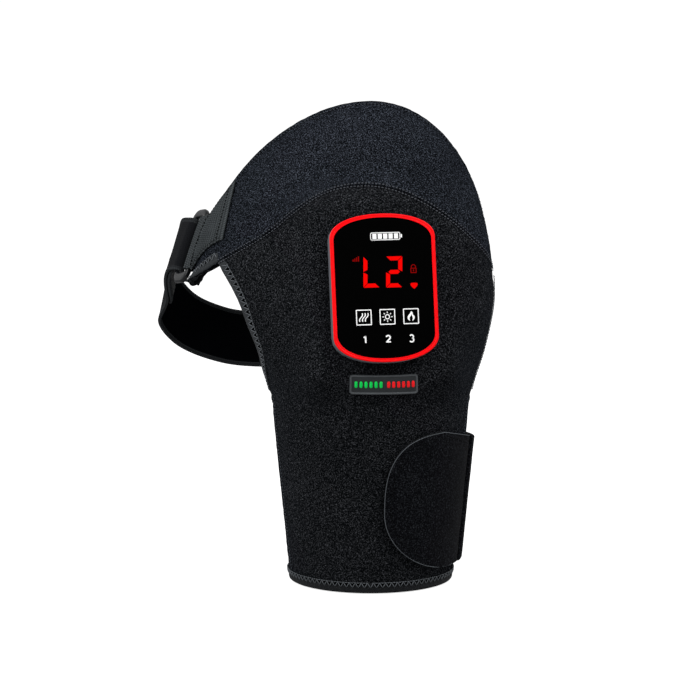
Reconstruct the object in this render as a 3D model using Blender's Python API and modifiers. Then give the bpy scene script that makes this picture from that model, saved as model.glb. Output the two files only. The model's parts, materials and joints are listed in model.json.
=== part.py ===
"""Heated shoulder brace: a padded shell over shoulder and upper arm, a strap loop and a clamped controller.

Metres, +Z up. The arm's axis stands upright, the wearer's body is on the +Y side, and the controller
faces -Y. The shell is one loft of arches. Each arch starts on the left edge, bulges to its apex and ends
on the right edge: point = middle - half_span * cos(turn) + (apex - middle) * sin(turn).
"""

import math

import bmesh
import bpy
import numpy as np
from mathutils import Matrix, Vector

# Driving sizes of the shell
HEM_RADIUS = 0.0530
ARMPIT_RADIUS = 0.0657
ARMPIT_HEIGHT = 0.1250
ARMPIT_SCOOP = 0.0250
FRONT_DEPTH = 0.0675
RIGHT_REACH = 0.0795
WING_REACH = 0.1190
CAP_HEIGHT = 0.3153
OUTER_THICK = 0.0022
LAYER_SPACE = 0.0036
LINING_THICK = 0.0012
HEM_BAND = 0.0070
BINDING_WIDTH = 0.0060
BINDING_PROUD = 0.0004
GAP = 0.0003
LAYER_CLEARANCE = 0.0007
OVERRUN = 0.0010

# Pads, motors and leads inside the wall
PAD_THICK = 0.0013
LOWER_PAD_WIDTH = 0.0600
UPPER_PAD_WIDTH = 0.0560
MOTOR_RADIUS = 0.0040
MOTOR_THICK = 0.0013
LEAD_WIDTH = 0.0060
LEAD_THICK = 0.0005

# Controller, sizes along its width, its height and outward from the fabric
CONTROLLER_WIDTH = 0.0702
CONTROLLER_HEIGHT = 0.0986
CONTROLLER_TOP_RISE = 0.0160
CONTROLLER_FOOT_RISE = 0.0175
ARCH_ROUND = 0.92
HOUSING_DEPTH = 0.0110
HOUSING_WALL = 0.0018
HOUSING_INSET = 0.0003
HOUSING_EDGE = 0.0014
BEZEL_DEPTH = 0.0034
BEZEL_FACE = 0.0029
BEZEL_EDGE = 0.0007
BEZEL_LEDGE = 0.0015
LEDGE_DEPTH = 0.0010
LENS_THICK = 0.0018
SEAT_SINK = 0.0045
SEAT_TURN_SHARE = 0.090
SEAT_MARGIN = 0.0020
SEAT_BLEND = 0.0260
KEY_SIZE = 0.0106
KEY_PITCH = 0.0157
KEY_PROUD = 0.0003
KEY_FLANGE = 0.0008
KEY_FLANGE_LIP = 0.0009
KEY_CORNER = 0.0006
KEY_DROP = 0.0190
KEY_SHIFT = 0.0014
KEY_TRAVEL = 0.0004
SWITCH_SIZE = 0.0045
SWITCH_REST_GAP = 0.0002
BOARD_THICK = 0.0016
BOARD_MARGIN = 0.0008
CELL_WIDTH = 0.0380
CELL_HEIGHT = 0.0560
CELL_THICK = 0.0046
CELL_CORNER = 0.0030
DISPLAY_WIDTH = 0.0440
DISPLAY_HEIGHT = 0.0260
DISPLAY_RISE = 0.0110
DISPLAY_CORNER = 0.0010
BOSS_RADIUS = 0.0035
BOSS_PLACE_SHARES = (0.335, 0.350)
SCREW_RADIUS = 0.0011
SCREW_HEAD_RADIUS = 0.0024
SCREW_HEAD_THICK = 0.0009
SCREW_LENGTH = 0.0070
PLATE_INSET = 0.0046
PLATE_END_INSET = 0.0083
PLATE_THICK = 0.0018
PLATE_CORNER = 0.0080
WIRE_HOLE_RADIUS = 0.0030
WIRE_RADIUS = 0.0024
SOCKET_WIDTH = 0.0090
SOCKET_THICK = 0.0032
SOCKET_LENGTH = 0.0070
SOCKET_WALL = 0.0004
SOCKET_CORNER = 0.0012

# Badge below the controller
BADGE_WIDTH = 0.0462
BADGE_HEIGHT = 0.0132
BADGE_THICK = 0.0014
BADGE_CORNER = 0.0026

# Sleeve closure
CLOSURE_FOOT = 0.0140
CLOSURE_HEIGHT = 0.0850
CLOSURE_THICK = 0.0052
FLAP_THICK = 0.0016
HOOK_THICK = 0.0008
HOOK_MARGIN = 0.0070
FLAP_LIFT = 0.0090
WRAP_FALL = 0.0060

# Strap, webbing tab and loop buckle
STRAP_WIDTH = 0.0370
STRAP_THICK = 0.0020
STRAP_BACK = 0.0920
STRAP_SEAT_GAP = 0.0007
STRAP_LEAD = 0.0080
TAB_THICK = 0.0013
TAB_REACH = 0.0098
BAR_SPACING = 0.0150
BUCKLE_BAR = 0.0036
BUCKLE_THICK = 0.0036
BUCKLE_END = 0.0062
BUCKLE_CORNER = 0.0070
BUCKLE_EDGE = 0.0007
WINDOW_CORNER = 0.0007
BUCKLE_DROOP_SHARE = 0.260
BUCKLE_LEAN_SHARE = 0.110
FOLD_SLACK = 0.0009
TAIL_THICK = 0.0018
TAIL_END_CORNER = 0.0080

# Arches of the loft above the closed sleeve. Each row holds left, right and apex points as shares:
# left x of WING_REACH, right and apex x of RIGHT_REACH, y of FRONT_DEPTH and z of CAP_HEIGHT.
ARCH_SHARES = (
    ((-0.672, 0.044, 0.476), (0.935, 0.030, 0.488), (-0.013, -1.000, 0.501)),
    ((-0.840, 0.119, 0.546), (1.000, 0.059, 0.565), (-0.025, -0.874, 0.604)),
    ((-0.983, 0.207, 0.612), (0.997, 0.089, 0.647), (-0.031, -0.561, 0.781)),
    ((-0.987, 0.216, 0.615), (0.989, 0.104, 0.657), (-0.038, -0.355, 0.855)),
    ((-0.993, 0.231, 0.618), (0.975, 0.119, 0.660), (-0.042, 0.059, 0.944)),
    ((-1.000, 0.252, 0.625), (0.956, 0.133, 0.663), (-0.045, 0.504, 1.000)),
)
MID_SLEEVE_SHARE = 0.850
RIM_TUCK_SHARE = 0.100

# Seam between front panel and cap: its rise from the wing's row to the next, along the arch
SEAM_RISE_SHARES = (
    (0.00, 0.00), (0.14, 0.00), (0.21, 0.05), (0.29, 0.28), (0.35, 0.66), (0.41, 0.93), (0.50, 1.00),
    (0.63, 0.85), (0.72, 0.60), (0.79, 0.30), (0.90, 0.05), (1.00, 0.00),
)
# Armpit edge of the front panel: how far along each of the four arches it cuts in
ARMPIT_EDGE_SHARES = (0.0, 0.127, 0.169, 0.137)

# Places on the shell, as shares along the arch and up the loft
CONTROLLER_PLACE_SHARES = (0.535, 0.588)
BADGE_PLACE_SHARES = (0.541, 0.397)
LOWER_PAD_SHARES = (0.200, 0.360)
UPPER_PAD_SHARES = (0.800, 0.900)
MOTOR_PLACE_SHARES = ((0.300, 0.560), (0.760, 0.560), (0.520, 0.935))
TAB_PLACE_SHARE = 0.070
TAB_INNER_SHARE = 0.500
TAB_END_SHARES = ((0.165, 0.785), (0.208, 0.965))
TAB_BOW = 1.5

# Closure places, as turns from the front centre in right angles, and the flap's outline exponents
CLOSURE_TURN_SHARES = (0.870, 1.420)
FLAP_TIP_TURN_SHARE = 0.093
FLAP_TOP_TURN_SHARE = 0.520
FLAP_FOOT_TURN_SHARE = 0.680
FLAP_TOP_ROUND_SHARE = 3.0
FLAP_FOOT_ROUND_SHARE = 2.1

# Strap route behind the body, as shares of WING_REACH, STRAP_BACK and the rise from the armpit to the buckle
STRAP_ROUTE_SHARES = (
    (-1.095, 0.655, 0.735), (-1.135, 0.805, 0.545), (-1.045, 0.895, 0.360), (-0.824, 0.978, 0.210),
    (-0.487, 1.000, 0.167), (-0.067, 0.957, 0.175), (0.302, 0.739, 0.190),
)
STRAP_END_SHARES = (1.000, 0.985, 0.965, 0.940)
STRAP_END_UP_SHARE = 0.600
STRAP_SQUARE_SHARE = 0.400
STRAP_UPRIGHT_SHARE = 1 / 3
STRAP_TURN_SHARE = 0.250
STRAP_FOLD_TURN = math.pi * 2 / 3
TAB_FOLD_TURN = math.pi / 6

# Where the front panel draws back for the armpit tape, as shares of the row above the closed sleeve
TAPE_START_SHARE = 0.900
TAPE_EASE_SHARE = 0.500

# Counts of faces and turns
ACROSS_STEPS = 22
WING_STEPS = 4
REAR_ACROSS_STEPS = 18
REAR_TAPE_STEPS = 24
PAD_ACROSS_STEPS = 10
PAD_LOWER_STEPS = 8
PAD_UPPER_STEPS = 5
LEAD_ACROSS_STEPS = 2
PAD_LEAD_STEPS = 18
MOTOR_LEAD_STEPS = 14
BADGE_ACROSS_STEPS = 14
BADGE_UP_STEPS = 4
WRAP_ACROSS_STEPS = 10
WRAP_UP_STEPS = 7
TAB_ACROSS_STEPS = 6
TAB_LONG_STEPS = 7
TAB_INNER_STEPS = 4
FOLD_STEPS = 6
ARCH_STEPS = 14
CORNER_STEPS = 4
SMALL_CORNER_STEPS = 2
HOLE_STEPS = 16
PIN_STEPS = 12
UP_STEPS = 20
CAP_STEPS = 9
REAR_STEPS = 12
ROUND_STEPS = 24
FLAP_STEPS = 9
STRAP_STEPS = 34
STRAP_CROWDING = 1.4
TAIL_FIRST_STEPS = 2
TAIL_LAST_STEPS = 8
TAIL_ROUND_STEPS = 3

PARTS = "heated_shoulder_brace"
CUTTERS = "cutters"

# Worked out sizes
WALL = OUTER_THICK + LAYER_SPACE + LINING_THICK
LINING_DEPTH = OUTER_THICK + LAYER_SPACE
LEAD_DEPTH = LINING_DEPTH - LAYER_CLEARANCE - LEAD_THICK
FLOOR = GAP
HOUSING_FRONT = FLOOR + HOUSING_DEPTH
BEZEL_BACK = HOUSING_FRONT + GAP
BEZEL_FRONT = BEZEL_BACK + BEZEL_DEPTH
LENS_BACK = BEZEL_BACK + LEDGE_DEPTH + GAP
LENS_FRONT = LENS_BACK + LENS_THICK
KEY_FLANGE_FRONT = LENS_BACK - GAP
KEY_FLANGE_BACK = KEY_FLANGE_FRONT - KEY_FLANGE
SWITCH_FRONT = KEY_FLANGE_BACK - KEY_TRAVEL - SWITCH_REST_GAP
CELL_BACK = FLOOR + HOUSING_WALL + GAP
BOARD_BACK = CELL_BACK + CELL_THICK + GAP
BOARD_FRONT = BOARD_BACK + BOARD_THICK
PLATE_FRONT = -OUTER_THICK - GAP
PLATE_BACK = PLATE_FRONT - PLATE_THICK


def clear_scene():
    """Remove what the start-up file brings and make the two collections."""
    for item in list(bpy.data.objects):
        bpy.data.objects.remove(item, do_unlink=True)
    for name in (PARTS, CUTTERS):
        bpy.context.scene.collection.children.link(bpy.data.collections.new(name))


def material(name, colour, roughness, metallic=0.0):
    """A Principled material of one colour."""
    made = bpy.data.materials.new(name)
    made.use_nodes = True
    shader = made.node_tree.nodes["Principled BSDF"]
    shader.inputs["Base Color"].default_value = (*colour, 1.0)
    shader.inputs["Roughness"].default_value = roughness
    shader.inputs["Metallic"].default_value = metallic
    return made


# The loft of arches

def sleeve_arch(radius, height):
    """Left, right and apex points of a level half circle of the sleeve."""
    return ((-radius, 0, height), (radius, 0, height), (0, -radius, height))


def arch_table():
    """All arches from hem to rim as an array of rows, each with left, right and apex points."""
    middle_height = ARMPIT_HEIGHT * MID_SLEEVE_SHARE
    middle_radius = HEM_RADIUS + (ARMPIT_RADIUS - HEM_RADIUS) * MID_SLEEVE_SHARE
    rows = [sleeve_arch(HEM_RADIUS, 0), sleeve_arch(middle_radius, middle_height),
            sleeve_arch(ARMPIT_RADIUS, ARMPIT_HEIGHT)]
    for left, right, apex in ARCH_SHARES:
        rows.append([(share[0] * reach, share[1] * FRONT_DEPTH, share[2] * CAP_HEIGHT)
                     for share, reach in zip((left, right, apex), (WING_REACH, RIGHT_REACH, RIGHT_REACH))])
    return np.array(rows)


ARCHES = arch_table()
APEX_STEPS = np.linalg.norm(np.diff(ARCHES[:, 2], axis=0), axis=1)
ARCH_UP = np.concatenate(([0], np.cumsum(APEX_STEPS))) / APEX_STEPS.sum()
CLOSED_UP = ARCH_UP[2]
WING_UP = ARCH_UP[5]
SEAM_UP = ARCH_UP[6]


def smooth(places, values, query):
    """Cubic curve through the values at the places, with slopes from the neighbouring values."""
    values = np.asarray(values, float)
    places = np.asarray(places, float)
    slopes = np.gradient(values, places, axis=0)
    query = np.clip(query, places[0], places[-1])
    left = np.clip(np.searchsorted(places, query, side="right") - 1, 0, len(places) - 2)
    width = places[left + 1] - places[left]
    part = (query - places[left]) / width
    extra = (1,) * (values.ndim - 1)
    part = part.reshape(part.shape + extra)
    width = width.reshape(width.shape + extra)
    rise = part * part * (3 - 2 * part)
    return (values[left] * (1 - rise) + values[left + 1] * rise
            + slopes[left] * width * part * (1 - part) ** 2
            - slopes[left + 1] * width * part ** 2 * (1 - part))


def raw_shell(across, up, back=False):
    """Point of the loft before the controller presses it flat; the back half mirrors the sleeve's arches."""
    across, up = np.broadcast_arrays(np.asarray(across, float), np.asarray(up, float))
    row = smooth(ARCH_UP, ARCHES, up)
    left, right, apex = row[..., 0, :], row[..., 1, :], row[..., 2, :]
    middle = (left + right) / 2
    bulge = middle - apex if back else apex - middle
    turn = (math.pi * across)[..., None]
    tuck = 1 - RIM_TUCK_SHARE * np.sin(turn) * (np.cos(turn) < 0) * up[..., None] ** 3
    half = (right - left) / 2
    return middle - half * np.cos(turn) * tuck + bulge * np.sin(turn)


def derivative(surface, across, up, back, step=1e-4):
    """Unit-free slopes of a surface along and up the loft."""
    across, up = np.broadcast_arrays(np.asarray(across, float), np.asarray(up, float))
    right, left = np.minimum(across + step, 1), np.maximum(across - step, 0)
    top, foot = np.minimum(up + step, 1), np.maximum(up - step, 0)
    along = (surface(right, up, back) - surface(left, up, back)) / (right - left)[..., None]
    rising = (surface(across, top, back) - surface(across, foot, back)) / (top - foot)[..., None]
    return along, rising


def unit(vectors):
    """Vectors scaled to length one."""
    return vectors / np.linalg.norm(vectors, axis=-1, keepdims=True)


def surface_normal(surface, across, up, back=False):
    """Outward unit normal of a surface."""
    along, rising = derivative(surface, across, up, back)
    normal = unit(np.cross(along, rising))
    return -normal if back else normal


def controller_frame():
    """Matrix of the controller's seat: X to its right, Z up its face, Y into the wearer's arm."""
    place = raw_shell(*CONTROLLER_PLACE_SHARES)
    out = surface_normal(raw_shell, *CONTROLLER_PLACE_SHARES)
    upright = np.array((0.0, 0.0, 1.0))
    out = unit(out + SEAT_TURN_SHARE * unit(np.cross(upright, out)))
    up_axis = unit(upright - np.dot(upright, out) * out)
    right_axis = np.cross(up_axis, out)
    frame = np.eye(4)
    frame[:3, 0], frame[:3, 1], frame[:3, 2] = right_axis, -out, up_axis
    frame[:3, 3] = place - SEAT_SINK * out
    return frame


SEAT = controller_frame()


def shell(across, up, back=False):
    """Point of the loft, pressed flat behind the controller and blended back around it."""
    points = raw_shell(across, up, back)
    if back:
        return points
    local = (points - SEAT[:3, 3]) @ SEAT[:3, :3]
    beside = np.maximum(np.abs(local[..., 0]) - CONTROLLER_WIDTH / 2 - SEAT_MARGIN, 0)
    beyond = np.maximum(np.abs(local[..., 2]) - CONTROLLER_HEIGHT / 2 - SEAT_MARGIN, 0)
    fade = np.clip(np.hypot(beside, beyond) / SEAT_BLEND, 0, 1)
    weight = 1 - fade * fade * (3 - 2 * fade)
    return points - (weight * local[..., 1])[..., None] * SEAT[:3, 1]


def at_depth(across, up, depth, back=False):
    """Point below the outer face by a depth; a negative depth stands proud of it."""
    return shell(across, up, back) - depth * surface_normal(shell, across, up, back)


def along_share(across, up, length, back=False):
    """Share along the arch that a length takes at a place."""
    return length / np.linalg.norm(derivative(shell, across, up, back)[0], axis=-1)


def up_share(across, up, length, back=False):
    """Share up the loft that a length takes at a place."""
    return length / np.linalg.norm(derivative(shell, across, up, back)[1], axis=-1)


def armpit_edge(up):
    """Share along the arch where the front panel's free edge runs."""
    rows = ARCH_UP[2:6]
    return np.where(np.asarray(up) <= CLOSED_UP, 0, smooth(rows, ARMPIT_EDGE_SHARES, np.asarray(up, float)))


def seam_up(across):
    """Share up the loft of the seam between front panel and cap."""
    places, rises = np.array(SEAM_RISE_SHARES).T
    return WING_UP + (SEAM_UP - WING_UP) * np.interp(across, places, rises)


# Mesh makers

def link(item, shade, collection=PARTS, parent=None):
    """Put an object in its collection, with its material and parent."""
    bpy.data.collections[collection].objects.link(item)
    if shade is not None:
        item.data.materials.append(shade)
    if parent is not None:
        item.parent = parent
    return item


def grid_mesh(name, points, closed=False):
    """Quads over a grid of points whose rows run across and whose columns run up, facing outwards."""
    rows, columns = points.shape[:2]
    last = columns if closed else columns - 1
    faces = []
    for row in range(rows - 1):
        for column in range(last):
            right = (column + 1) % columns
            faces.append((row * columns + column, row * columns + right,
                          (row + 1) * columns + right, (row + 1) * columns + column))
    mesh = bpy.data.meshes.new(name)
    mesh.from_pydata(points.reshape(-1, 3).tolist(), [], faces)
    mesh.shade_smooth()
    return mesh


def sheet(name, points, thickness, shade):
    """A sheet with a wall on both sides of the grid."""
    item = bpy.data.objects.new(name, grid_mesh(name, points))
    link(item, shade)
    wall = item.modifiers.new("wall", "SOLIDIFY")
    wall.thickness = thickness
    wall.offset = 0
    return item


def thick_sheet(name, outer, inner, shade):
    """A loft between two grids of points, outer and inner face, closed round its edge."""
    rows, columns = outer.shape[:2]
    count = rows * columns
    faces = []
    for row in range(rows - 1):
        for column in range(columns - 1):
            corner = row * columns + column
            quad = (corner, corner + 1, corner + columns + 1, corner + columns)
            faces.append(quad)
            faces.append(tuple(index + count for index in reversed(quad)))
    grid = np.arange(count).reshape(rows, columns)
    rim = np.concatenate((grid[0, :-1], grid[:-1, -1], grid[-1, :0:-1], grid[:0:-1, 0])).tolist()
    for first, second in zip(rim, rim[1:] + rim[:1]):
        faces.append((second, first, first + count, second + count))
    mesh = bpy.data.meshes.new(name)
    mesh.from_pydata(np.concatenate((outer, inner)).reshape(-1, 3).tolist(), [], faces)
    mesh.shade_smooth()
    mesh.set_sharp_from_angle(angle=math.pi / 4)
    return link(bpy.data.objects.new(name, mesh), shade)


def layer(name, across, up, depth, thickness, shade, back=False):
    """A layer of the wall: a sheet between two depths below the outer face."""
    return thick_sheet(name, at_depth(across, up, depth, back),
                       at_depth(across, up, depth + thickness, back), shade)


def binding(name, across, up, shade, back=False):
    """Tape over the whole wall's edge, a little proud of both faces."""
    thick_sheet(name, at_depth(across, up, -BINDING_PROUD, back),
                at_depth(across, up, WALL + BINDING_PROUD, back), shade)


def hang(item, parent):
    """Parent an object to an empty and keep its place."""
    item.parent = parent
    item.matrix_parent_inverse = parent.matrix_basis.inverted()


def empty(name, matrix, parent=None):
    """An empty on a joint's axis or an assembly's seat."""
    item = bpy.data.objects.new(name, None)
    item.empty_display_size = KEY_SIZE
    bpy.data.collections[PARTS].objects.link(item)
    item.matrix_world = Matrix(matrix.tolist())
    if parent is not None:
        item.parent = parent
        item.matrix_parent_inverse = parent.matrix_basis.inverted()
    return item


def plate_mesh(name, outlines, back, front, edge=0.0):
    """Flat solid of an outline and its holes, from one depth to another, depth running to -Y."""
    curve = bpy.data.curves.new(name, "CURVE")
    curve.dimensions = "2D"
    curve.fill_mode = "BOTH"
    curve.extrude = (front - back) / 2 - edge
    curve.bevel_depth = edge
    curve.bevel_resolution = 1
    curve.offset = -edge
    for outline in outlines:
        spline = curve.splines.new("POLY")
        spline.points.add(len(outline) - 1)
        for point, (x, z) in zip(spline.points, outline):
            point.co = (x, z, 0, 1)
        spline.use_cyclic_u = True
    drawn = bpy.data.objects.new(name, curve)
    bpy.context.scene.collection.objects.link(drawn)
    mesh = bpy.data.meshes.new_from_object(drawn.evaluated_get(bpy.context.evaluated_depsgraph_get()))
    bpy.data.objects.remove(drawn, do_unlink=True)
    bpy.data.curves.remove(curve)
    turn = Matrix.Translation((0, -(front + back) / 2, 0)) @ Matrix.Rotation(math.pi / 2, 4, "X")
    mesh.transform(turn)
    made = bmesh.new()
    made.from_mesh(mesh)
    bmesh.ops.remove_doubles(made, verts=made.verts, dist=1e-6)
    bmesh.ops.recalc_face_normals(made, faces=made.faces)
    made.to_mesh(mesh)
    made.free()
    mesh.name = name
    return mesh


def plate(name, outlines, back, front, shade, parent=None, edge=0.0):
    """Object of a flat solid, hung on an empty."""
    item = bpy.data.objects.new(name, plate_mesh(name, outlines, back, front, edge))
    return link(item, shade, PARTS, parent)


def cutter(name, outlines, back, front, parent=None):
    """Flat solid that cuts, out of sight of the build."""
    item = bpy.data.objects.new(name, plate_mesh(name, outlines, back, front))
    item.hide_render = True
    item.display_type = "WIRE"
    return link(item, None, CUTTERS, parent)


def cut(item, tool, operation="DIFFERENCE"):
    """Boolean one object with another."""
    step = item.modifiers.new(tool.name, "BOOLEAN")
    step.operation = operation
    step.object = tool


def circle(radius, x=0.0, z=0.0, steps=ROUND_STEPS):
    """Points of a circle in the face plane."""
    turns = np.linspace(0, 2 * math.pi, steps, endpoint=False)
    return [(x + radius * math.cos(turn), z + radius * math.sin(turn)) for turn in turns]


def rounded_box(width, height, corner, x=0.0, z=0.0, steps=CORNER_STEPS):
    """Points of a rectangle with round corners."""
    points = []
    for quarter, (sx, sz) in enumerate(((1, 1), (-1, 1), (-1, -1), (1, -1))):
        for step in range(steps + 1):
            turn = math.pi / 2 * (quarter + step / steps)
            points.append((x + sx * (width / 2 - corner) + corner * math.cos(turn),
                           z + sz * (height / 2 - corner) + corner * math.sin(turn)))
    return points


def face_outline(inset, steps=ARCH_STEPS):
    """The controller's face: straight sides closed by two flat arches, drawn in by an inset."""
    half = CONTROLLER_WIDTH / 2
    points = []
    for sign, rise in ((1, CONTROLLER_TOP_RISE), (-1, CONTROLLER_FOOT_RISE)):
        level = sign * (CONTROLLER_HEIGHT / 2 - rise)
        for step in range(steps + 1):
            turn = math.pi * step / steps
            x = sign * half * math.copysign(abs(math.cos(turn)) ** ARCH_ROUND, math.cos(turn))
            z = level + sign * rise * abs(math.sin(turn)) ** ARCH_ROUND
            points.append((x, z))
    across = 1 - 2 * inset / CONTROLLER_WIDTH
    tall = 1 - 2 * inset / CONTROLLER_HEIGHT
    return [(x * across, z * tall) for x, z in points]


# Soft shell

def panel_grid(layer_gap):
    """Shares of the front panel's grid: along the arch and up, clear of hem, bindings and seams."""
    part = np.linspace(0, 1, ACROSS_STEPS + 1)
    rise = np.linspace(0, 1, UP_STEPS + 1)[:, None]
    foot = up_share(0.5, 0.0, HEM_BAND + GAP)
    edge = seam_up(armpit_share_of(part))
    top = edge - up_share(armpit_share_of(part), edge, layer_gap / 2)
    up = foot + (top - foot) * rise
    near = armpit_edge(up)
    climb = (up - CLOSED_UP) / (ARCH_UP[3] - CLOSED_UP)
    free = np.clip((climb + TAPE_START_SHARE) / TAPE_EASE_SHARE, 0, 1)
    near = near + along_share(near, up, layer_gap / 2) + free * along_share(near, up, BINDING_WIDTH)
    far = 1 - along_share(1.0, up, layer_gap / 2) - free * along_share(1.0, up, BINDING_WIDTH)
    return near + (far - near) * part, up


def armpit_share_of(part):
    """Shares along the arch of the panel's top row."""
    tip = ARMPIT_EDGE_SHARES[-1]
    return tip + (1 - tip) * part


def cap_grid(layer_gap):
    """Shares of the cap's grid: the wing beyond the armpit's tip, then the panel's own columns."""
    wing = np.linspace(0, ARMPIT_EDGE_SHARES[-1], WING_STEPS + 1)[:-1]
    part = np.linspace(0, 1, ACROSS_STEPS + 1)
    across = np.concatenate((wing, armpit_share_of(part)))
    foot = seam_up(across) + up_share(across, seam_up(across), layer_gap / 2)
    rise = np.linspace(0, 1, CAP_STEPS + 1)[:, None]
    return np.broadcast_to(across, (CAP_STEPS + 1, len(across))), foot + (1 - foot) * rise


def rear_top(across):
    """Share up the loft of the armpit's scooped lower edge behind the arm."""
    low = CLOSED_UP - up_share(0.5, CLOSED_UP, ARMPIT_SCOOP, True)
    return low + (CLOSED_UP - low) * np.cos(math.pi * across) ** 4


def rear_grid(layer_gap):
    """Shares of the rear panel's grid, from the right side seam round the back to the left one."""
    side = along_share(0.0, CLOSED_UP / 2, layer_gap / 2, True)
    across = np.linspace(1 - side, side, REAR_ACROSS_STEPS + 1)
    foot = up_share(0.5, 0.0, HEM_BAND + GAP, True)
    top = rear_top(across) - up_share(across, rear_top(across), BINDING_WIDTH + GAP, True)
    return np.broadcast_to(across, (REAR_STEPS + 1, len(across))), \
        foot + (top - foot) * np.linspace(0, 1, REAR_STEPS + 1)[:, None]


def make_shell(shades):
    """Outer panels and linings, as offset layers of one loft."""
    layers = ((0.0, OUTER_THICK, "plush", ("front_panel", "shoulder_cap", "rear_panel")),
              (LINING_DEPTH, LINING_THICK, "lining", ("front_lining", "cap_lining", "rear_lining")))
    for depth, thickness, shade, names in layers:
        for name, grid, back in zip(names, (panel_grid, cap_grid, rear_grid), (False, False, True)):
            across, up = grid(2 * GAP)
            layer(name, across, up, depth, thickness, shades[shade], back)


def make_bindings(shades):
    """Hem ring and the overlocked tape round the armpit opening."""
    hem_ring(shades["binding"])
    wide = np.linspace(0, 1, 2)
    low = CLOSED_UP + up_share(0.0, CLOSED_UP, GAP)
    rows = panel_grid(2 * GAP)[1]
    up = np.concatenate(([low], rows[rows[:, 0] > low, 0]))[:, None]
    near = armpit_edge(up)
    tape = along_share(near, up, BINDING_WIDTH - GAP)
    binding("armpit_binding_front", near + tape * wide, up, shades["binding"])
    up = np.concatenate(([low], rows[rows[:, -1] > low, -1]))[:, None]
    tape = along_share(1.0, up, BINDING_WIDTH - GAP)
    binding("armpit_binding_side", 1 - tape * (1 - wide), up, shades["binding"])
    across = np.linspace(1, 0, REAR_TAPE_STEPS + 1)
    top = rear_top(across)
    up = top - up_share(across, top, BINDING_WIDTH, True) * (1 - wide[:, None])
    binding("armpit_binding_rear", across, up, shades["binding"], True)


def hem_ring(shade):
    """Overlocked band round the foot of the sleeve, turned from its section."""
    slope = (ARMPIT_RADIUS - HEM_RADIUS) / ARMPIT_HEIGHT * HEM_BAND
    outer = HEM_RADIUS + BINDING_PROUD
    inner = HEM_RADIUS - WALL - BINDING_PROUD
    profile = ((outer + slope, HEM_BAND), (outer, 0), (inner, 0), (inner + slope, HEM_BAND))
    mesh = bpy.data.meshes.new("hem_binding")
    mesh.from_pydata([(x, 0, z) for x, z in profile], [(0, 1), (1, 2), (2, 3), (3, 0)], [])
    item = link(bpy.data.objects.new("hem_binding", mesh), shade)
    turned = item.modifiers.new("turned", "SCREW")
    turned.steps = 2 * ROUND_STEPS
    turned.render_steps = 2 * ROUND_STEPS
    turned.merge_threshold = 1e-5
    turned.use_merge_vertices = True


def shell_patch(name, centre, width, up_from, up_to, depth, thickness, shade, columns, rows):
    """Rectangle of a layer inside the wall: a real width about a centre line, between two rows."""
    up = np.linspace(up_from, up_to, rows + 1)[:, None]
    places = np.linspace(-0.5, 0.5, columns + 1)
    across = centre + along_share(centre, up, width) * places
    layer(name, across, np.broadcast_to(up, across.shape), depth, thickness, shade)


def make_inner_layers(shades):
    """Heating pads, coin motors and flat leads between plush and lining."""
    pad_depth = OUTER_THICK + LAYER_CLEARANCE
    middle = CONTROLLER_PLACE_SHARES[0]
    shell_patch("heating_pad_lower", 0.5, LOWER_PAD_WIDTH, *LOWER_PAD_SHARES, pad_depth, PAD_THICK,
                shades["pad"], PAD_ACROSS_STEPS, PAD_LOWER_STEPS)
    shell_patch("heating_pad_upper", 0.5, UPPER_PAD_WIDTH, *UPPER_PAD_SHARES, pad_depth, PAD_THICK,
                shades["pad"], PAD_ACROSS_STEPS, PAD_UPPER_STEPS)
    low = LOWER_PAD_SHARES[1] - (LOWER_PAD_SHARES[1] - LOWER_PAD_SHARES[0]) / 4
    high = UPPER_PAD_SHARES[0] + (UPPER_PAD_SHARES[1] - UPPER_PAD_SHARES[0]) / 4
    shell_patch("pad_lead", middle, LEAD_WIDTH, low, high, LEAD_DEPTH, LEAD_THICK, shades["lead"],
                LEAD_ACROSS_STEPS, PAD_LEAD_STEPS)
    for number, (across, up) in enumerate(MOTOR_PLACE_SHARES, 1):
        coin_motor("vibration_motor_%d" % number, across, up, shades["motor"])
        if number < 3:
            side = 1 if across > middle else -1
            start = middle + side * along_share(middle, up, LEAD_WIDTH / 2 + GAP)
            stop = across - side * along_share(across, up, MOTOR_RADIUS + GAP)
            lead_across = np.linspace(*sorted((float(start), float(stop))), MOTOR_LEAD_STEPS + 1)
            rise = np.linspace(-0.5, 0.5, 2)[:, None]
            lead_up = up + up_share(lead_across, up, LEAD_WIDTH / 2) * rise
            layer("motor_lead_%d" % number, lead_across, lead_up, LEAD_DEPTH, LEAD_THICK, shades["lead"])


def coin_motor(name, across, up, shade):
    """Flat round motor lying in the wall."""
    out = Vector(surface_normal(shell, across, up))
    centre = Vector(at_depth(across, up, LEAD_DEPTH - GAP - MOTOR_THICK / 2))
    mesh = bpy.data.meshes.new(name)
    made = bmesh.new()
    bmesh.ops.create_cone(made, cap_ends=True, segments=ROUND_STEPS, radius1=MOTOR_RADIUS,
                          radius2=MOTOR_RADIUS, depth=MOTOR_THICK)
    made.to_mesh(mesh)
    made.free()
    item = link(bpy.data.objects.new(name, mesh), shade)
    item.location = centre
    item.rotation_euler = out.to_track_quat("Z", "Y").to_euler()


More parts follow.
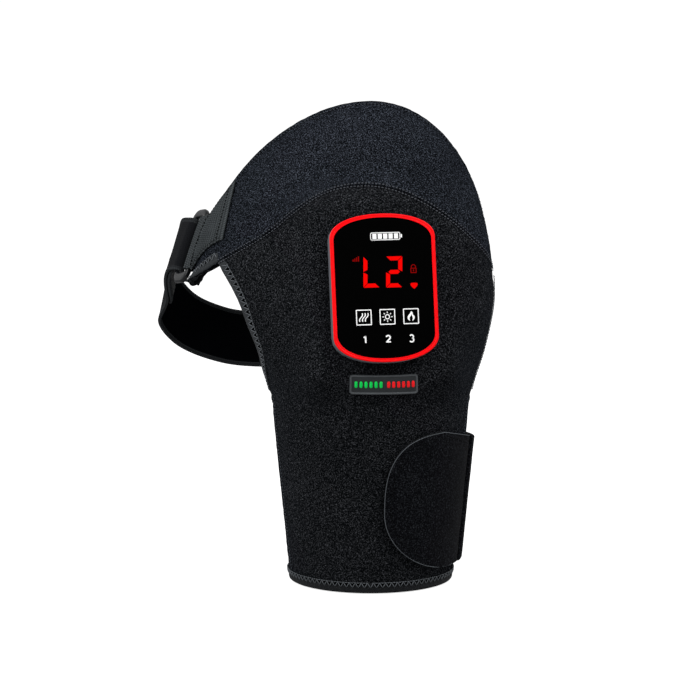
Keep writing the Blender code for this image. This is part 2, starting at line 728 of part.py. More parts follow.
def make_badge(shade):
    """Moulded rubber badge that follows the sleeve below the controller."""
    across, up = BADGE_PLACE_SHARES
    places = np.linspace(-0.5, 0.5, BADGE_ACROSS_STEPS + 1) * BADGE_WIDTH
    past = np.maximum(np.abs(places) - (BADGE_WIDTH / 2 - BADGE_CORNER), 0)
    drop = BADGE_CORNER - np.sqrt(np.maximum(BADGE_CORNER ** 2 - past ** 2, 0))
    half = BADGE_HEIGHT / 2 - drop
    rows = np.linspace(-1, 1, BADGE_UP_STEPS + 1)[:, None] * half
    grid_across = across + along_share(across, up, 1.0) * places
    grid_up = up + up_share(across, up, 1.0) * rows
    layer("badge", np.broadcast_to(grid_across, grid_up.shape), grid_up, -LAYER_CLEARANCE - BADGE_THICK,
          BADGE_THICK, shade)


# Sleeve closure

def sleeve_point(turn_share, height, proud):
    """Point proud of the sleeve at a turn from the front centre, in right angles, and a height."""
    turn_share, height = np.broadcast_arrays(np.asarray(turn_share, float), np.asarray(height, float))
    up = height / ARMPIT_HEIGHT * CLOSED_UP
    front = at_depth((1 + np.minimum(turn_share, 1)) / 2, up, -proud)
    rear = at_depth(1 - np.maximum(turn_share - 1, 0) / 2, up, -proud, True)
    return np.where((turn_share <= 1)[..., None], front, rear)


def make_closure(shades):
    """Wrap of the rear panel round the right side, and the D flap that closes over the front."""
    start, stop = CLOSURE_TURN_SHARES
    rise = np.linspace(0, 1, WRAP_UP_STEPS + 1)[:, None]
    part = np.linspace(0, 1, WRAP_ACROSS_STEPS + 1)
    height = CLOSURE_FOOT + (CLOSURE_HEIGHT - WRAP_FALL * np.sin(math.pi / 2 * part)) * rise
    turn = start + (stop - start) * part
    thick_sheet("closure_wrap", sleeve_point(turn, height, LAYER_CLEARANCE + CLOSURE_THICK),
                sleeve_point(turn, height, LAYER_CLEARANCE), shades["flap"])

    low, high = hinge_points()
    hinge_line = unit(high - low)
    pivot = np.eye(4)
    pivot[:3, 2] = hinge_line
    pivot[:3, 0] = unit(np.cross((0.0, 1.0, 0.0), hinge_line))
    pivot[:3, 1] = np.cross(hinge_line, pivot[:3, 0])
    pivot[:3, 3] = (low + high) / 2
    hinge = empty("flap_axis", pivot)
    hook_face = LAYER_CLEARANCE + HOOK_THICK
    flap_back = hook_face + LAYER_CLEARANCE
    flap = thick_sheet("arm_flap", flap_grid(0.0, flap_back + FLAP_THICK), flap_grid(0.0, flap_back),
                       shades["flap"])
    hook = thick_sheet("flap_hook", flap_grid(HOOK_MARGIN, hook_face),
                       flap_grid(HOOK_MARGIN, LAYER_CLEARANCE), shades["hook"])
    hang(flap, hinge)
    hang(hook, hinge)


def hinge_points():
    """Foot and top of the wrap's outer corner, on which the flap opens."""
    turn = CLOSURE_TURN_SHARES[0]
    proud = LAYER_CLEARANCE + CLOSURE_THICK
    return sleeve_point(turn, CLOSURE_FOOT, proud), sleeve_point(turn, CLOSURE_FOOT + CLOSURE_HEIGHT, proud)


def flap_grid(margin, proud):
    """D outline: straight seam on the right, and two round shoulders that meet in the tip."""
    hinge_turn = CLOSURE_TURN_SHARES[0]
    quarter = HEM_RADIUS * math.pi / 2
    rows = 2 * FLAP_STEPS + 1
    sweep = np.sin(np.linspace(-math.pi / 2, math.pi / 2, rows))
    middle = CLOSURE_FOOT + CLOSURE_HEIGHT / 2
    height = middle + sweep * (CLOSURE_HEIGHT / 2 - margin)
    exponent = np.where(sweep > 0, FLAP_TOP_ROUND_SHARE, FLAP_FOOT_ROUND_SHARE)
    flat = np.where(sweep > 0, FLAP_TOP_TURN_SHARE, FLAP_FOOT_TURN_SHARE)
    bow = (1 - np.abs(sweep) ** exponent) ** (1 / exponent)
    tip = flat + (FLAP_TIP_TURN_SHARE - flat) * bow + margin / quarter
    root = hinge_turn - (GAP + margin) / quarter
    part = np.linspace(0, 1, FLAP_STEPS + 2)
    turn = tip[:, None] + (root - tip)[:, None] * part
    lift = FLAP_LIFT * (np.clip(sweep, 0, 1) ** 2)[:, None] * (1 - part)
    return sleeve_point(turn, height[:, None] + lift, proud)


# Strap, tab and buckle

def buckle_frame():
    """Matrix at the buckle's inner bar: X away from the wing, Z up the bar, Y out of the strap loop."""
    along, rising = derivative(shell, TAB_PLACE_SHARE, 1.0, False)
    rim = unit(along)
    away = unit(rising - np.dot(rising, rim) * rim)
    bar = unit(rim + BUCKLE_DROOP_SHARE * away - BUCKLE_LEAN_SHARE * np.cross(rim, away))
    away = unit(away - np.dot(away, bar) * bar)
    outward = np.cross(bar, away)
    middle = at_depth(TAB_PLACE_SHARE, 1.0, WALL / 2)
    frame = np.eye(4)
    frame[:3, 0], frame[:3, 1], frame[:3, 2] = away, outward, bar
    frame[:3, 3] = middle + TAB_REACH * away
    return frame


BUCKLE = buckle_frame()


def from_buckle(away, outward, bar):
    """Point in the buckle's own directions."""
    return BUCKLE[:3, 3] + away * BUCKLE[:3, 0] + outward * BUCKLE[:3, 1] + bar * BUCKLE[:3, 2]


def tab_line(place, end, part, depth):
    """Points of one of the tab's long lines, from its place on the rim towards its sewn end."""
    return at_depth(place + (end[0] - place) * part ** TAB_BOW, 1 + (end[1] - 1) * part, depth)


def make_tab(shade):
    """Webbing tab: sewn on the wing, round the buckle's inner bar and back inside the wing."""
    stations = np.linspace(-0.5, 0.5, TAB_ACROSS_STEPS + 1)
    across = TAB_PLACE_SHARE + along_share(TAB_PLACE_SHARE, 1.0, STRAP_WIDTH) * stations
    ends = smooth((-0.5, 0.5), TAB_END_SHARES, stations)
    proud = LAYER_CLEARANCE + TAB_THICK / 2
    radius = BUCKLE_BAR / 2 + FOLD_SLACK + TAB_THICK / 2
    rows = []
    for place, end, station in zip(across, ends, stations * STRAP_WIDTH):
        part = np.linspace(1, 0, TAB_LONG_STEPS + 1)
        path = list(tab_line(place, end, part, -proud))
        for turn in np.linspace(TAB_FOLD_TURN, math.pi - TAB_FOLD_TURN, FOLD_STEPS + 1):
            path.append(from_buckle(radius * math.sin(turn), radius * math.cos(turn), station))
        part = np.linspace(0, 1, TAB_INNER_STEPS + 1) * TAB_INNER_SHARE
        path.extend(tab_line(place, end, part, WALL + proud))
        rows.append(path)
    sheet("strap_tab", np.array(rows), TAB_THICK, shade)


def make_buckle(shade):
    """Moulded loop with rounded ends: the tab holds one bar and the strap the other."""
    seat = empty("buckle_seat", BUCKLE)
    window = STRAP_WIDTH + 2 * LAYER_CLEARANCE
    length = window + 2 * BUCKLE_END
    width = BAR_SPACING + BUCKLE_BAR
    outlines = (rounded_box(width, length, BUCKLE_CORNER, BAR_SPACING / 2),
                rounded_box(BAR_SPACING - BUCKLE_BAR, window, WINDOW_CORNER, BAR_SPACING / 2,
                            steps=SMALL_CORNER_STEPS)[::-1])
    plate("strap_buckle", outlines, -BUCKLE_THICK / 2, BUCKLE_THICK / 2, shade, seat, BUCKLE_EDGE)


def strap_fold(turns):
    """Centre of the strap's fold round the outer bar at each turn from the outer face."""
    radius = BUCKLE_BAR / 2 + FOLD_SLACK + STRAP_THICK / 2
    return [from_buckle(BAR_SPACING - radius * math.sin(turn), radius * math.cos(turn), 0) for turn in turns]


def strap_route():
    """Places and centre points of the strap from the buckle to its sewn end."""
    route = np.array(STRAP_ROUTE_SHARES) * (WING_REACH, STRAP_BACK, BUCKLE[2, 3] - ARMPIT_HEIGHT)
    route[:, 2] += ARMPIT_HEIGHT
    proud = BUCKLE_BAR / 2 + FOLD_SLACK + STRAP_THICK / 2
    start, lead = from_buckle(BAR_SPACING, proud, 0), from_buckle(BAR_SPACING + STRAP_LEAD, proud, 0)
    points = np.vstack((start, lead, route, sewn_rows(np.zeros(1))[0]))
    places = np.concatenate(([0], np.cumsum(np.linalg.norm(np.diff(points, axis=0), axis=1))))
    return places / places[-1], points


def sewn_rows(half):
    """Rows of the strap's end inside the shell's right edge, for offsets across its width."""
    depth = WALL + BINDING_PROUD + STRAP_SEAT_GAP + STRAP_THICK / 2
    up = CLOSED_UP + (ARCH_UP[3] - CLOSED_UP) * STRAP_END_UP_SHARE
    return [at_depth(share, up + up_share(share, up, 1.0) * half, depth) for share in STRAP_END_SHARES]


def strap_row(place, half, proud=0.0):
    """One row across the strap's width at a place of its route; a proud row stands outside the loop."""
    places, points = strap_route()
    step = 1e-3
    centre = smooth(places, points, np.array(place))
    heading = unit(smooth(places, points, np.array(place + step)) - centre)
    upright = np.array((0.0, 0.0, 1.0))
    end = sewn_rows(half)[0]
    early = np.clip(place / STRAP_UPRIGHT_SHARE, 0, 1)
    late = np.clip((place - 1) / STRAP_TURN_SHARE + 1, 0, 1)
    direction = BUCKLE[:3, 2] * (1 - early) + upright * early * (1 - late) + unit(end[-1] - end[0]) * late
    direction = unit(direction - STRAP_SQUARE_SHARE * np.dot(direction, heading) * heading)
    outward = unit(np.cross(direction, heading))
    return centre + proud * outward + half[:, None] * direction


def make_strap(shades):
    """Long strap from the buckle round behind the body to the right edge, and its folded tail."""
    half = np.linspace(-0.5, 0.5, 5) * STRAP_WIDTH
    bar = BUCKLE[:3, 2]
    fold_turns = np.linspace(STRAP_FOLD_TURN, 0, FOLD_STEPS)
    rows = [centre + half[:, None] * bar for centre in strap_fold(fold_turns)]
    places = np.linspace(0, 1, STRAP_STEPS) ** STRAP_CROWDING
    rows.extend(strap_row(place, half) for place in places[1:-1])
    rows.extend(sewn_rows(half))
    sheet("shoulder_strap", np.array(rows), STRAP_THICK, shades["strap"])

    inset = -(STRAP_THICK / 2 + LAYER_CLEARANCE + TAIL_THICK / 2)
    rows = []
    places = places[TAIL_FIRST_STEPS:TAIL_LAST_STEPS + 1]
    for place in places:
        past = np.clip(1 - (places[-1] - place) / (places[-1] - places[-TAIL_ROUND_STEPS]), 0, 1)
        drop = TAIL_END_CORNER * (1 - math.sqrt(1 - past * past))
        rows.append(strap_row(place, half * (1 - 2 * drop / STRAP_WIDTH), inset))
    rows = np.array(rows)
    axis = np.eye(4)
    axis[:3, 2] = unit(rows[0][-1] - rows[0][0])
    axis[:3, 0] = unit(np.cross(axis[:3, 2], BUCKLE[:3, 1]))
    axis[:3, 1] = np.cross(axis[:3, 2], axis[:3, 0])
    axis[:3, 3] = rows[0][2]
    tail = sheet("strap_tail", rows, TAIL_THICK, shades["hook"])
    hang(tail, empty("tail_axis", axis))


# Controller

def make_controller(shades):
    """Clamped controller: housing, bezel, lens, keys and what they hold, all on the seat's empty."""
    seat = empty("controller_seat", SEAT)
    make_housing(shades, seat)
    make_bezel_and_lens(shades, seat)
    make_keys(shades, seat)
    make_electronics(shades, seat)
    make_clamp(shades, seat)


def boss_places():
    """Centres of the four screw bosses on the face plane."""
    reach, rise = BOSS_PLACE_SHARES[0] * CONTROLLER_WIDTH, BOSS_PLACE_SHARES[1] * CONTROLLER_HEIGHT
    return [(side * reach, level * rise) for side in (-1, 1) for level in (-1, 1)]


def make_housing(shades, seat):
    """Open tray with four bosses through the fabric, a wire hole and the charging slot."""
    outer = face_outline(HOUSING_INSET)
    housing = plate("rear_housing", [outer], FLOOR, HOUSING_FRONT, shades["housing"], seat, HOUSING_EDGE)
    pocket = cutter("housing_pocket", [face_outline(HOUSING_INSET + HOUSING_WALL)],
                    FLOOR + HOUSING_WALL, HOUSING_FRONT + OVERRUN, seat)
    cut(housing, pocket)
    for number, (x, z) in enumerate(boss_places(), 1):
        boss = cutter("housing_boss_%d" % number, [circle(BOSS_RADIUS, x, z)], PLATE_FRONT + GAP,
                      BOARD_BACK - GAP, seat)
        cut(housing, boss, "UNION")
        pilot = cutter("housing_pilot_%d" % number, [circle(SCREW_RADIUS + GAP, x, z, PIN_STEPS)],
                       PLATE_FRONT - OVERRUN, PLATE_FRONT + SCREW_LENGTH, seat)
        cut(housing, pilot)
    wires = cutter("housing_wire_hole", [circle(WIRE_HOLE_RADIUS)], FLOOR - OVERRUN,
                   FLOOR + HOUSING_WALL + OVERRUN, seat)
    cut(housing, wires)
    slot = cutter("housing_charge_slot", [socket_outline(GAP)], -OVERRUN, HOUSING_WALL + 2 * OVERRUN, seat)
    place_socket(slot, 0)
    cut(housing, slot)


def socket_outline(margin):
    """Outline of the charging socket's shell."""
    return rounded_box(SOCKET_WIDTH + 2 * margin, SOCKET_THICK + 2 * margin, SOCKET_CORNER + margin)


def place_socket(item, reach):
    """Turn a plate upright behind the board, with its mouth a reach above the housing's foot."""
    foot = -CONTROLLER_HEIGHT / 2 + HOUSING_INSET
    item.rotation_euler = (-math.pi / 2, 0, 0)
    item.location = (0, -(BOARD_BACK - GAP - SOCKET_THICK / 2), foot + reach)


def make_bezel_and_lens(shades, seat):
    """Red frame with a ledge, and the glossy panel that sits in it with three key windows."""
    bezel = plate("red_bezel", [face_outline(0.0)], BEZEL_BACK, BEZEL_FRONT, shades["red"], seat, BEZEL_EDGE)
    opening = cutter("bezel_opening", [face_outline(BEZEL_FACE)], BEZEL_BACK + LEDGE_DEPTH,
                     BEZEL_FRONT + OVERRUN, seat)
    ledge = cutter("bezel_ledge", [face_outline(BEZEL_FACE + BEZEL_LEDGE)], BEZEL_BACK - OVERRUN,
                   BEZEL_BACK + LEDGE_DEPTH + OVERRUN, seat)
    cut(bezel, opening)
    cut(bezel, ledge)
    outlines = [face_outline(BEZEL_FACE + GAP)]
    window = KEY_SIZE + 2 * GAP
    for x in key_places():
        outlines.append(rounded_box(window, window, KEY_CORNER + GAP, x, -KEY_DROP,
                                    SMALL_CORNER_STEPS)[::-1])
    plate("front_lens", outlines, LENS_BACK, LENS_FRONT, shades["gloss"], seat)


def key_places():
    """Key centres across the face."""
    return [KEY_SHIFT + step * KEY_PITCH for step in (-1, 0, 1)]


def make_keys(shades, seat):
    """Three press keys: a cap through the lens and a flange behind it, over a tact switch each."""
    for name, x in zip(("massage_key", "level_key", "heat_key"), key_places()):
        axis = np.eye(4)
        axis[:3, 3] = (x, -KEY_FLANGE_BACK, -KEY_DROP)
        travel = empty(name + "_travel", SEAT @ axis, seat)
        cap = rounded_box(KEY_SIZE, KEY_SIZE, KEY_CORNER, steps=SMALL_CORNER_STEPS)
        flange_size = KEY_SIZE + 2 * KEY_FLANGE_LIP
        flange = rounded_box(flange_size, flange_size, KEY_CORNER + KEY_FLANGE_LIP, steps=SMALL_CORNER_STEPS)
        key = plate(name, [cap], 0, LENS_FRONT + KEY_PROUD - KEY_FLANGE_BACK, shades["key"], travel)
        lip = cutter(name + "_flange", [flange], 0, KEY_FLANGE, travel)
        cut(key, lip, "UNION")
        switch = rounded_box(SWITCH_SIZE, SWITCH_SIZE, KEY_CORNER, x, -KEY_DROP, SMALL_CORNER_STEPS)
        switch_name = name.replace("key", "switch")
        plate(switch_name, [switch], BOARD_FRONT + GAP, SWITCH_FRONT, shades["motor"], seat)


def make_electronics(shades, seat):
    """Cell on the housing's floor, board over it, display module and charging socket on the board."""
    cell = rounded_box(CELL_WIDTH, CELL_HEIGHT, CELL_CORNER)
    plate("battery_cell", [cell], CELL_BACK, CELL_BACK + CELL_THICK, shades["cell"], seat)
    inset = HOUSING_INSET + HOUSING_WALL + BOARD_MARGIN
    plate("circuit_board", [face_outline(inset)], BOARD_BACK, BOARD_FRONT, shades["board"], seat)
    display = rounded_box(DISPLAY_WIDTH, DISPLAY_HEIGHT, DISPLAY_CORNER, 0.0, DISPLAY_RISE)
    plate("display_module", [display], BOARD_FRONT + GAP, LENS_BACK - GAP, shades["display"], seat)
    shell_outline = socket_outline(0.0)
    hollow = rounded_box(SOCKET_WIDTH - 2 * SOCKET_WALL, SOCKET_THICK - 2 * SOCKET_WALL,
                         SOCKET_CORNER - SOCKET_WALL)[::-1]
    socket = plate("charging_socket", [shell_outline, hollow], 0, SOCKET_LENGTH, shades["motor"], seat)
    place_socket(socket, HOUSING_WALL / 2)


def make_clamp(shades, seat):
    """Back plate inside the wall and its four screws, which pinch the fabric under the housing."""
    outline = rounded_box(CONTROLLER_WIDTH - 2 * PLATE_INSET, CONTROLLER_HEIGHT - 2 * PLATE_END_INSET,
                          PLATE_CORNER)
    back = plate("clamp_plate", [outline], PLATE_BACK, PLATE_FRONT, shades["housing"], seat)
    head_room = SCREW_HEAD_RADIUS + GAP
    holes = [("wires", WIRE_HOLE_RADIUS, 0.0, 0.0, PLATE_FRONT + OVERRUN)]
    for number, (x, z) in enumerate(boss_places(), 1):
        holes.append(("shank_%d" % number, SCREW_RADIUS + GAP, x, z, PLATE_FRONT + OVERRUN))
        holes.append(("head_%d" % number, head_room, x, z, PLATE_BACK + SCREW_HEAD_THICK + GAP))
    for name, radius, x, z, front in holes:
        hole = cutter("clamp_" + name, [circle(radius, x, z, HOLE_STEPS)], PLATE_BACK - OVERRUN, front, seat)
        cut(back, hole)
    for number, (x, z) in enumerate(boss_places(), 1):
        screw = screw_mesh("clamp_screw_%d" % number, shades["steel"])
        screw.parent = seat
        screw.location = (x, -PLATE_BACK, z)
        screw.rotation_euler = (math.pi / 2, 0, 0)
    front_fabric = bpy.data.objects["front_panel"]
    for number, (x, z) in enumerate(boss_places(), 1):
        punch = cutter("fabric_hole_%d" % number, [circle(BOSS_RADIUS + GAP, x, z)],
                       -OUTER_THICK - OVERRUN, OVERRUN, seat)
        cut(front_fabric, punch)
    cut(front_fabric, cutter("fabric_wire_hole", [circle(WIRE_HOLE_RADIUS)], -OUTER_THICK - OVERRUN,
                             OVERRUN, seat))
    wires = circle(WIRE_RADIUS, steps=PIN_STEPS)
    plate("lead_plug", [wires], PLATE_BACK, CELL_BACK - GAP, shades["lead"], seat)


def screw_mesh(name, shade):
    """Turned screw: its head at the origin and its shank up along Z."""
    profile = ((0, SCREW_LENGTH), (SCREW_RADIUS, SCREW_LENGTH), (SCREW_RADIUS, SCREW_HEAD_THICK),
               (SCREW_HEAD_RADIUS, SCREW_HEAD_THICK), (SCREW_HEAD_RADIUS, 0), (0, 0))
    mesh = bpy.data.meshes.new(name)
    edges = [(index, index + 1) for index in range(len(profile) - 1)]
    mesh.from_pydata([(x, 0, z) for x, z in profile], edges, [])
    item = link(bpy.data.objects.new(name, mesh), shade)
    turned = item.modifiers.new("turned", "SCREW")
    turned.steps = PIN_STEPS
    turned.render_steps = PIN_STEPS
    turned.use_merge_vertices = True
    turned.merge_threshold = 1e-5
    return item


def stand_on_origin():
    """Move the whole part so that the middle of its box stands over the origin."""
    bpy.context.view_layer.update()
    graph = bpy.context.evaluated_depsgraph_get()
    corners = []
    for item in bpy.data.collections[PARTS].objects:
        if item.type == "MESH":
            ready = item.evaluated_get(graph)
            corners.extend(item.matrix_world @ vertex.co for vertex in ready.data.vertices)
    low = Vector([min(corner[axis] for corner in corners) for axis in range(3)])
    high = Vector([max(corner[axis] for corner in corners) for axis in range(3)])
    shift = Vector(((low.x + high.x) / 2, (low.y + high.y) / 2, low.z))
    for item in bpy.data.objects:
        if item.parent is None:
            item.location = item.location - shift
    bpy.context.view_layer.update()


def main():
    """Build every piece and stand the part on the origin."""
    clear_scene()
    shades = {
        "plush": material("plush", (0.010, 0.011, 0.013), 0.95),
        "lining": material("lining", (0.012, 0.012, 0.013), 0.85),
        "binding": material("binding", (0.014, 0.015, 0.016), 0.80),
        "flap": material("flap", (0.006, 0.007, 0.008), 0.90),
        "hook": material("hook", (0.004, 0.004, 0.004), 0.60),
        "strap": material("strap", (0.002, 0.002, 0.003), 0.85),
        "webbing": material("webbing", (0.025, 0.031, 0.032), 0.80),
        "pad": material("pad", (0.090, 0.030, 0.012), 0.60),
        "motor": material("motor", (0.600, 0.600, 0.600), 0.30, 1.0),
        "lead": material("lead", (0.300, 0.020, 0.015), 0.50),
        "gloss": material("gloss", (0.003, 0.003, 0.003), 0.12),
        "badge": material("badge", (0.014, 0.016, 0.017), 0.55),
        "housing": material("housing", (0.045, 0.050, 0.055), 0.45),
        "red": material("red", (0.800, 0.008, 0.014), 0.30),
        "key": material("key", (0.004, 0.004, 0.004), 0.20),
        "board": material("board", (0.010, 0.120, 0.040), 0.55),
        "cell": material("cell", (0.350, 0.360, 0.380), 0.35, 0.8),
        "display": material("display", (0.020, 0.004, 0.004), 0.30),
        "steel": material("steel", (0.500, 0.500, 0.520), 0.35, 1.0),
    }
    make_shell(shades)
    make_bindings(shades)
    make_inner_layers(shades)
    make_badge(shades["badge"])
    make_closure(shades)
    make_tab(shades["webbing"])
    make_buckle(shades["gloss"])
    make_strap(shades)
    make_controller(shades)
    stand_on_origin()


main()
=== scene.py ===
"""Dresses the heated shoulder brace: fleece shell with stitched seams, glossy controller, strap and flap."""
import json
import math

import bpy
import bmesh
import numpy as np
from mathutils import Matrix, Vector

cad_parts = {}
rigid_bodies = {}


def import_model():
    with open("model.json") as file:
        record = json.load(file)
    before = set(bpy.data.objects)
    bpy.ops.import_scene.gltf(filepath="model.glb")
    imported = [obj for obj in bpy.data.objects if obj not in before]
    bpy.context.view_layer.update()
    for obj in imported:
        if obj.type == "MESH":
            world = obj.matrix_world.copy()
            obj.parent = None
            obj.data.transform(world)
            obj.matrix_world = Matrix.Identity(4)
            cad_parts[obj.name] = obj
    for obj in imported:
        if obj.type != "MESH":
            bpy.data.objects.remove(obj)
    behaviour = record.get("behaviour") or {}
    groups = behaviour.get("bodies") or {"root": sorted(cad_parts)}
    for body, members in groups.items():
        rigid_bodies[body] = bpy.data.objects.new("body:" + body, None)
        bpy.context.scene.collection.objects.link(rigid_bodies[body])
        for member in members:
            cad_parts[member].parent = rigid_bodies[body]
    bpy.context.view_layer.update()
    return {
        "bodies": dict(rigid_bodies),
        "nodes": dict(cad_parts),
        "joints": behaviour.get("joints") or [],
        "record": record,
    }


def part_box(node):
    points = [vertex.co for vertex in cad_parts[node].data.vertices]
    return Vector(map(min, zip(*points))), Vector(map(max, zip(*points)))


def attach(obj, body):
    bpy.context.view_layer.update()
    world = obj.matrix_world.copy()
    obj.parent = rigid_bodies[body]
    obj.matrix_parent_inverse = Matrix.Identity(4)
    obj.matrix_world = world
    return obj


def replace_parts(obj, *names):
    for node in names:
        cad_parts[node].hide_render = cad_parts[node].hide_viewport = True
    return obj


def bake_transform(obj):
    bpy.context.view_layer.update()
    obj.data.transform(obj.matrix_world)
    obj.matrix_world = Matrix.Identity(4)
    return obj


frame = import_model()

# Sizes of the part, in metres, as its solids have them
HEM_RADIUS = 0.0530
ARMPIT_RADIUS = 0.0657
ARMPIT_HEIGHT = 0.1250
ARMPIT_SCOOP = 0.0250
FRONT_DEPTH = 0.0675
RIGHT_REACH = 0.0795
WING_REACH = 0.1190
CAP_HEIGHT = 0.3153
OUTER_THICK = 0.0022
LAYER_SPACE = 0.0036
LINING_THICK = 0.0012
HEM_BAND = 0.0070
BINDING_WIDTH = 0.0060
BINDING_PROUD = 0.0004
GAP = 0.0003
LAYER_CLEARANCE = 0.0007
CONTROLLER_WIDTH = 0.0702
CONTROLLER_HEIGHT = 0.0986
CONTROLLER_TOP_RISE = 0.0160
CONTROLLER_FOOT_RISE = 0.0175
ARCH_ROUND = 0.92
HOUSING_DEPTH = 0.0110
BEZEL_DEPTH = 0.0034
BEZEL_FACE = 0.0029
LEDGE_DEPTH = 0.0010
LENS_THICK = 0.0018
SEAT_SINK = 0.0045
SEAT_TURN_SHARE = 0.090
SEAT_MARGIN = 0.0020
SEAT_BLEND = 0.0260
KEY_SIZE = 0.0106
BADGE_WIDTH = 0.0462
BADGE_HEIGHT = 0.0132
BADGE_THICK = 0.0014
BADGE_CORNER = 0.0026
CLOSURE_FOOT = 0.0140
CLOSURE_HEIGHT = 0.0850
CLOSURE_THICK = 0.0052
FLAP_THICK = 0.0016
HOOK_THICK = 0.0008
HOOK_MARGIN = 0.0070
FLAP_LIFT = 0.0090
WRAP_FALL = 0.0060
STRAP_WIDTH = 0.0370
STRAP_THICK = 0.0020
STRAP_BACK = 0.0920
STRAP_SEAT_GAP = 0.0007
STRAP_LEAD = 0.0080
TAB_THICK = 0.0013
TAB_REACH = 0.0098
BAR_SPACING = 0.0150
BUCKLE_BAR = 0.0036
BUCKLE_THICK = 0.0036
BUCKLE_END = 0.0062
BUCKLE_CORNER = 0.0070
BUCKLE_DROOP_SHARE = 0.260
BUCKLE_LEAN_SHARE = 0.110
FOLD_SLACK = 0.0009
TAIL_THICK = 0.0018
TAIL_END_CORNER = 0.0080
MID_SLEEVE_SHARE = 0.850
RIM_TUCK_SHARE = 0.100
CONTROLLER_PLACE_SHARES = (0.535, 0.588)
BADGE_PLACE_SHARES = (0.541, 0.397)
TAB_PLACE_SHARE = 0.070
TAB_INNER_SHARE = 0.500
TAB_BOW = 2.6
FLAP_TIP_TURN_SHARE = 0.093
FLAP_TOP_TURN_SHARE = 0.520
FLAP_FOOT_TURN_SHARE = 0.680
FLAP_TOP_ROUND_SHARE = 3.0
FLAP_FOOT_ROUND_SHARE = 2.1
STRAP_END_UP_SHARE = 0.600
STRAP_SQUARE_SHARE = 0.400
STRAP_STEPS = 34
STRAP_CROWDING = 1.4
TAIL_START_STEP = 2
TAIL_END_STEP = 8
TAIL_ROUND_STEPS = 3
WALL = OUTER_THICK + LAYER_SPACE + LINING_THICK
FLOOR = GAP
HOUSING_FRONT = FLOOR + HOUSING_DEPTH
BEZEL_BACK = HOUSING_FRONT + GAP
BEZEL_FRONT = BEZEL_BACK + BEZEL_DEPTH
LENS_BACK = BEZEL_BACK + LEDGE_DEPTH + GAP
LENS_FRONT = LENS_BACK + LENS_THICK

ARCH_SHARES = (
    ((-0.672, 0.044, 0.476), (0.935, 0.030, 0.488), (-0.013, -1.000, 0.501)),
    ((-0.840, 0.119, 0.546), (1.000, 0.059, 0.565), (-0.025, -0.874, 0.604)),
    ((-0.983, 0.207, 0.612), (0.997, 0.089, 0.647), (-0.031, -0.561, 0.781)),
    ((-0.987, 0.216, 0.615), (0.989, 0.104, 0.657), (-0.038, -0.355, 0.855)),
    ((-0.993, 0.231, 0.618), (0.975, 0.119, 0.660), (-0.042, 0.059, 0.944)),
    ((-1.000, 0.252, 0.625), (0.956, 0.133, 0.663), (-0.045, 0.504, 1.000)),
)
SEAM_RISE_SHARES = (
    (0.00, 0.00), (0.14, 0.00), (0.21, 0.05), (0.29, 0.28), (0.35, 0.66), (0.41, 0.93), (0.50, 1.00),
    (0.57, 0.88), (0.63, 0.69), (0.72, 0.34), (0.79, 0.06), (0.90, -0.17), (1.00, -0.25),
)
ARMPIT_EDGE_SHARES = (0.0, 0.127, 0.169, 0.137)
TAB_END_SHARES = ((0.165, 0.785), (0.208, 0.965))
CLOSURE_TURN_SHARES = (0.870, 1.420)
STRAP_ROUTE_SHARES = (
    (-1.095, 0.655, 0.735), (-1.135, 0.805, 0.545), (-1.045, 0.895, 0.360), (-0.824, 0.978, 0.210),
    (-0.487, 1.000, 0.167), (-0.067, 0.957, 0.175), (0.302, 0.739, 0.190),
)
STRAP_END_SHARES = (1.000, 0.985, 0.965, 0.940)

hem_low, hem_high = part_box("hem_binding")
SLEEVE_AXIS = np.array(((hem_low[0] + hem_high[0]) / 2, (hem_low[1] + hem_high[1]) / 2, 0.0))


# The loft of arches that carries every soft layer

def sleeve_arch(radius, height):
    """Left, right and apex points of a level half circle of the sleeve."""
    return ((-radius, 0, height), (radius, 0, height), (0, -radius, height))


def arch_table():
    """All arches from hem to rim as an array of rows, each with left, right and apex points."""
    middle_height = ARMPIT_HEIGHT * MID_SLEEVE_SHARE
    middle_radius = HEM_RADIUS + (ARMPIT_RADIUS - HEM_RADIUS) * MID_SLEEVE_SHARE
    rows = [sleeve_arch(HEM_RADIUS, 0), sleeve_arch(middle_radius, middle_height),
            sleeve_arch(ARMPIT_RADIUS, ARMPIT_HEIGHT)]
    for left, right, apex in ARCH_SHARES:
        rows.append([(share[0] * reach, share[1] * FRONT_DEPTH, share[2] * CAP_HEIGHT)
                     for share, reach in zip((left, right, apex), (WING_REACH, RIGHT_REACH, RIGHT_REACH))])
    return np.array(rows) + SLEEVE_AXIS


ARCHES = arch_table()
APEX_STEPS = np.linalg.norm(np.diff(ARCHES[:, 2], axis=0), axis=1)
ARCH_UP = np.concatenate(([0], np.cumsum(APEX_STEPS))) / APEX_STEPS.sum()
CLOSED_UP, WING_UP, SEAM_UP = ARCH_UP[2], ARCH_UP[5], ARCH_UP[6]


def smooth(places, values, query):
    """Hermite cubic through the values at the places, with slopes from the neighbouring values."""
    values = np.asarray(values, float)
    places = np.asarray(places, float)
    slopes = np.gradient(values, places, axis=0)
    query = np.clip(query, places[0], places[-1])
    left = np.clip(np.searchsorted(places, query, side="right") - 1, 0, len(places) - 2)
    width = places[left + 1] - places[left]
    part = (query - places[left]) / width
    extra = (1,) * (values.ndim - 1)
    part = part.reshape(part.shape + extra)
    width = width.reshape(width.shape + extra)
    rise = part * part * (3 - 2 * part)
    return (values[left] * (1 - rise) + values[left + 1] * rise
            + slopes[left] * width * part * (1 - part) ** 2
            - slopes[left + 1] * width * part ** 2 * (1 - part))


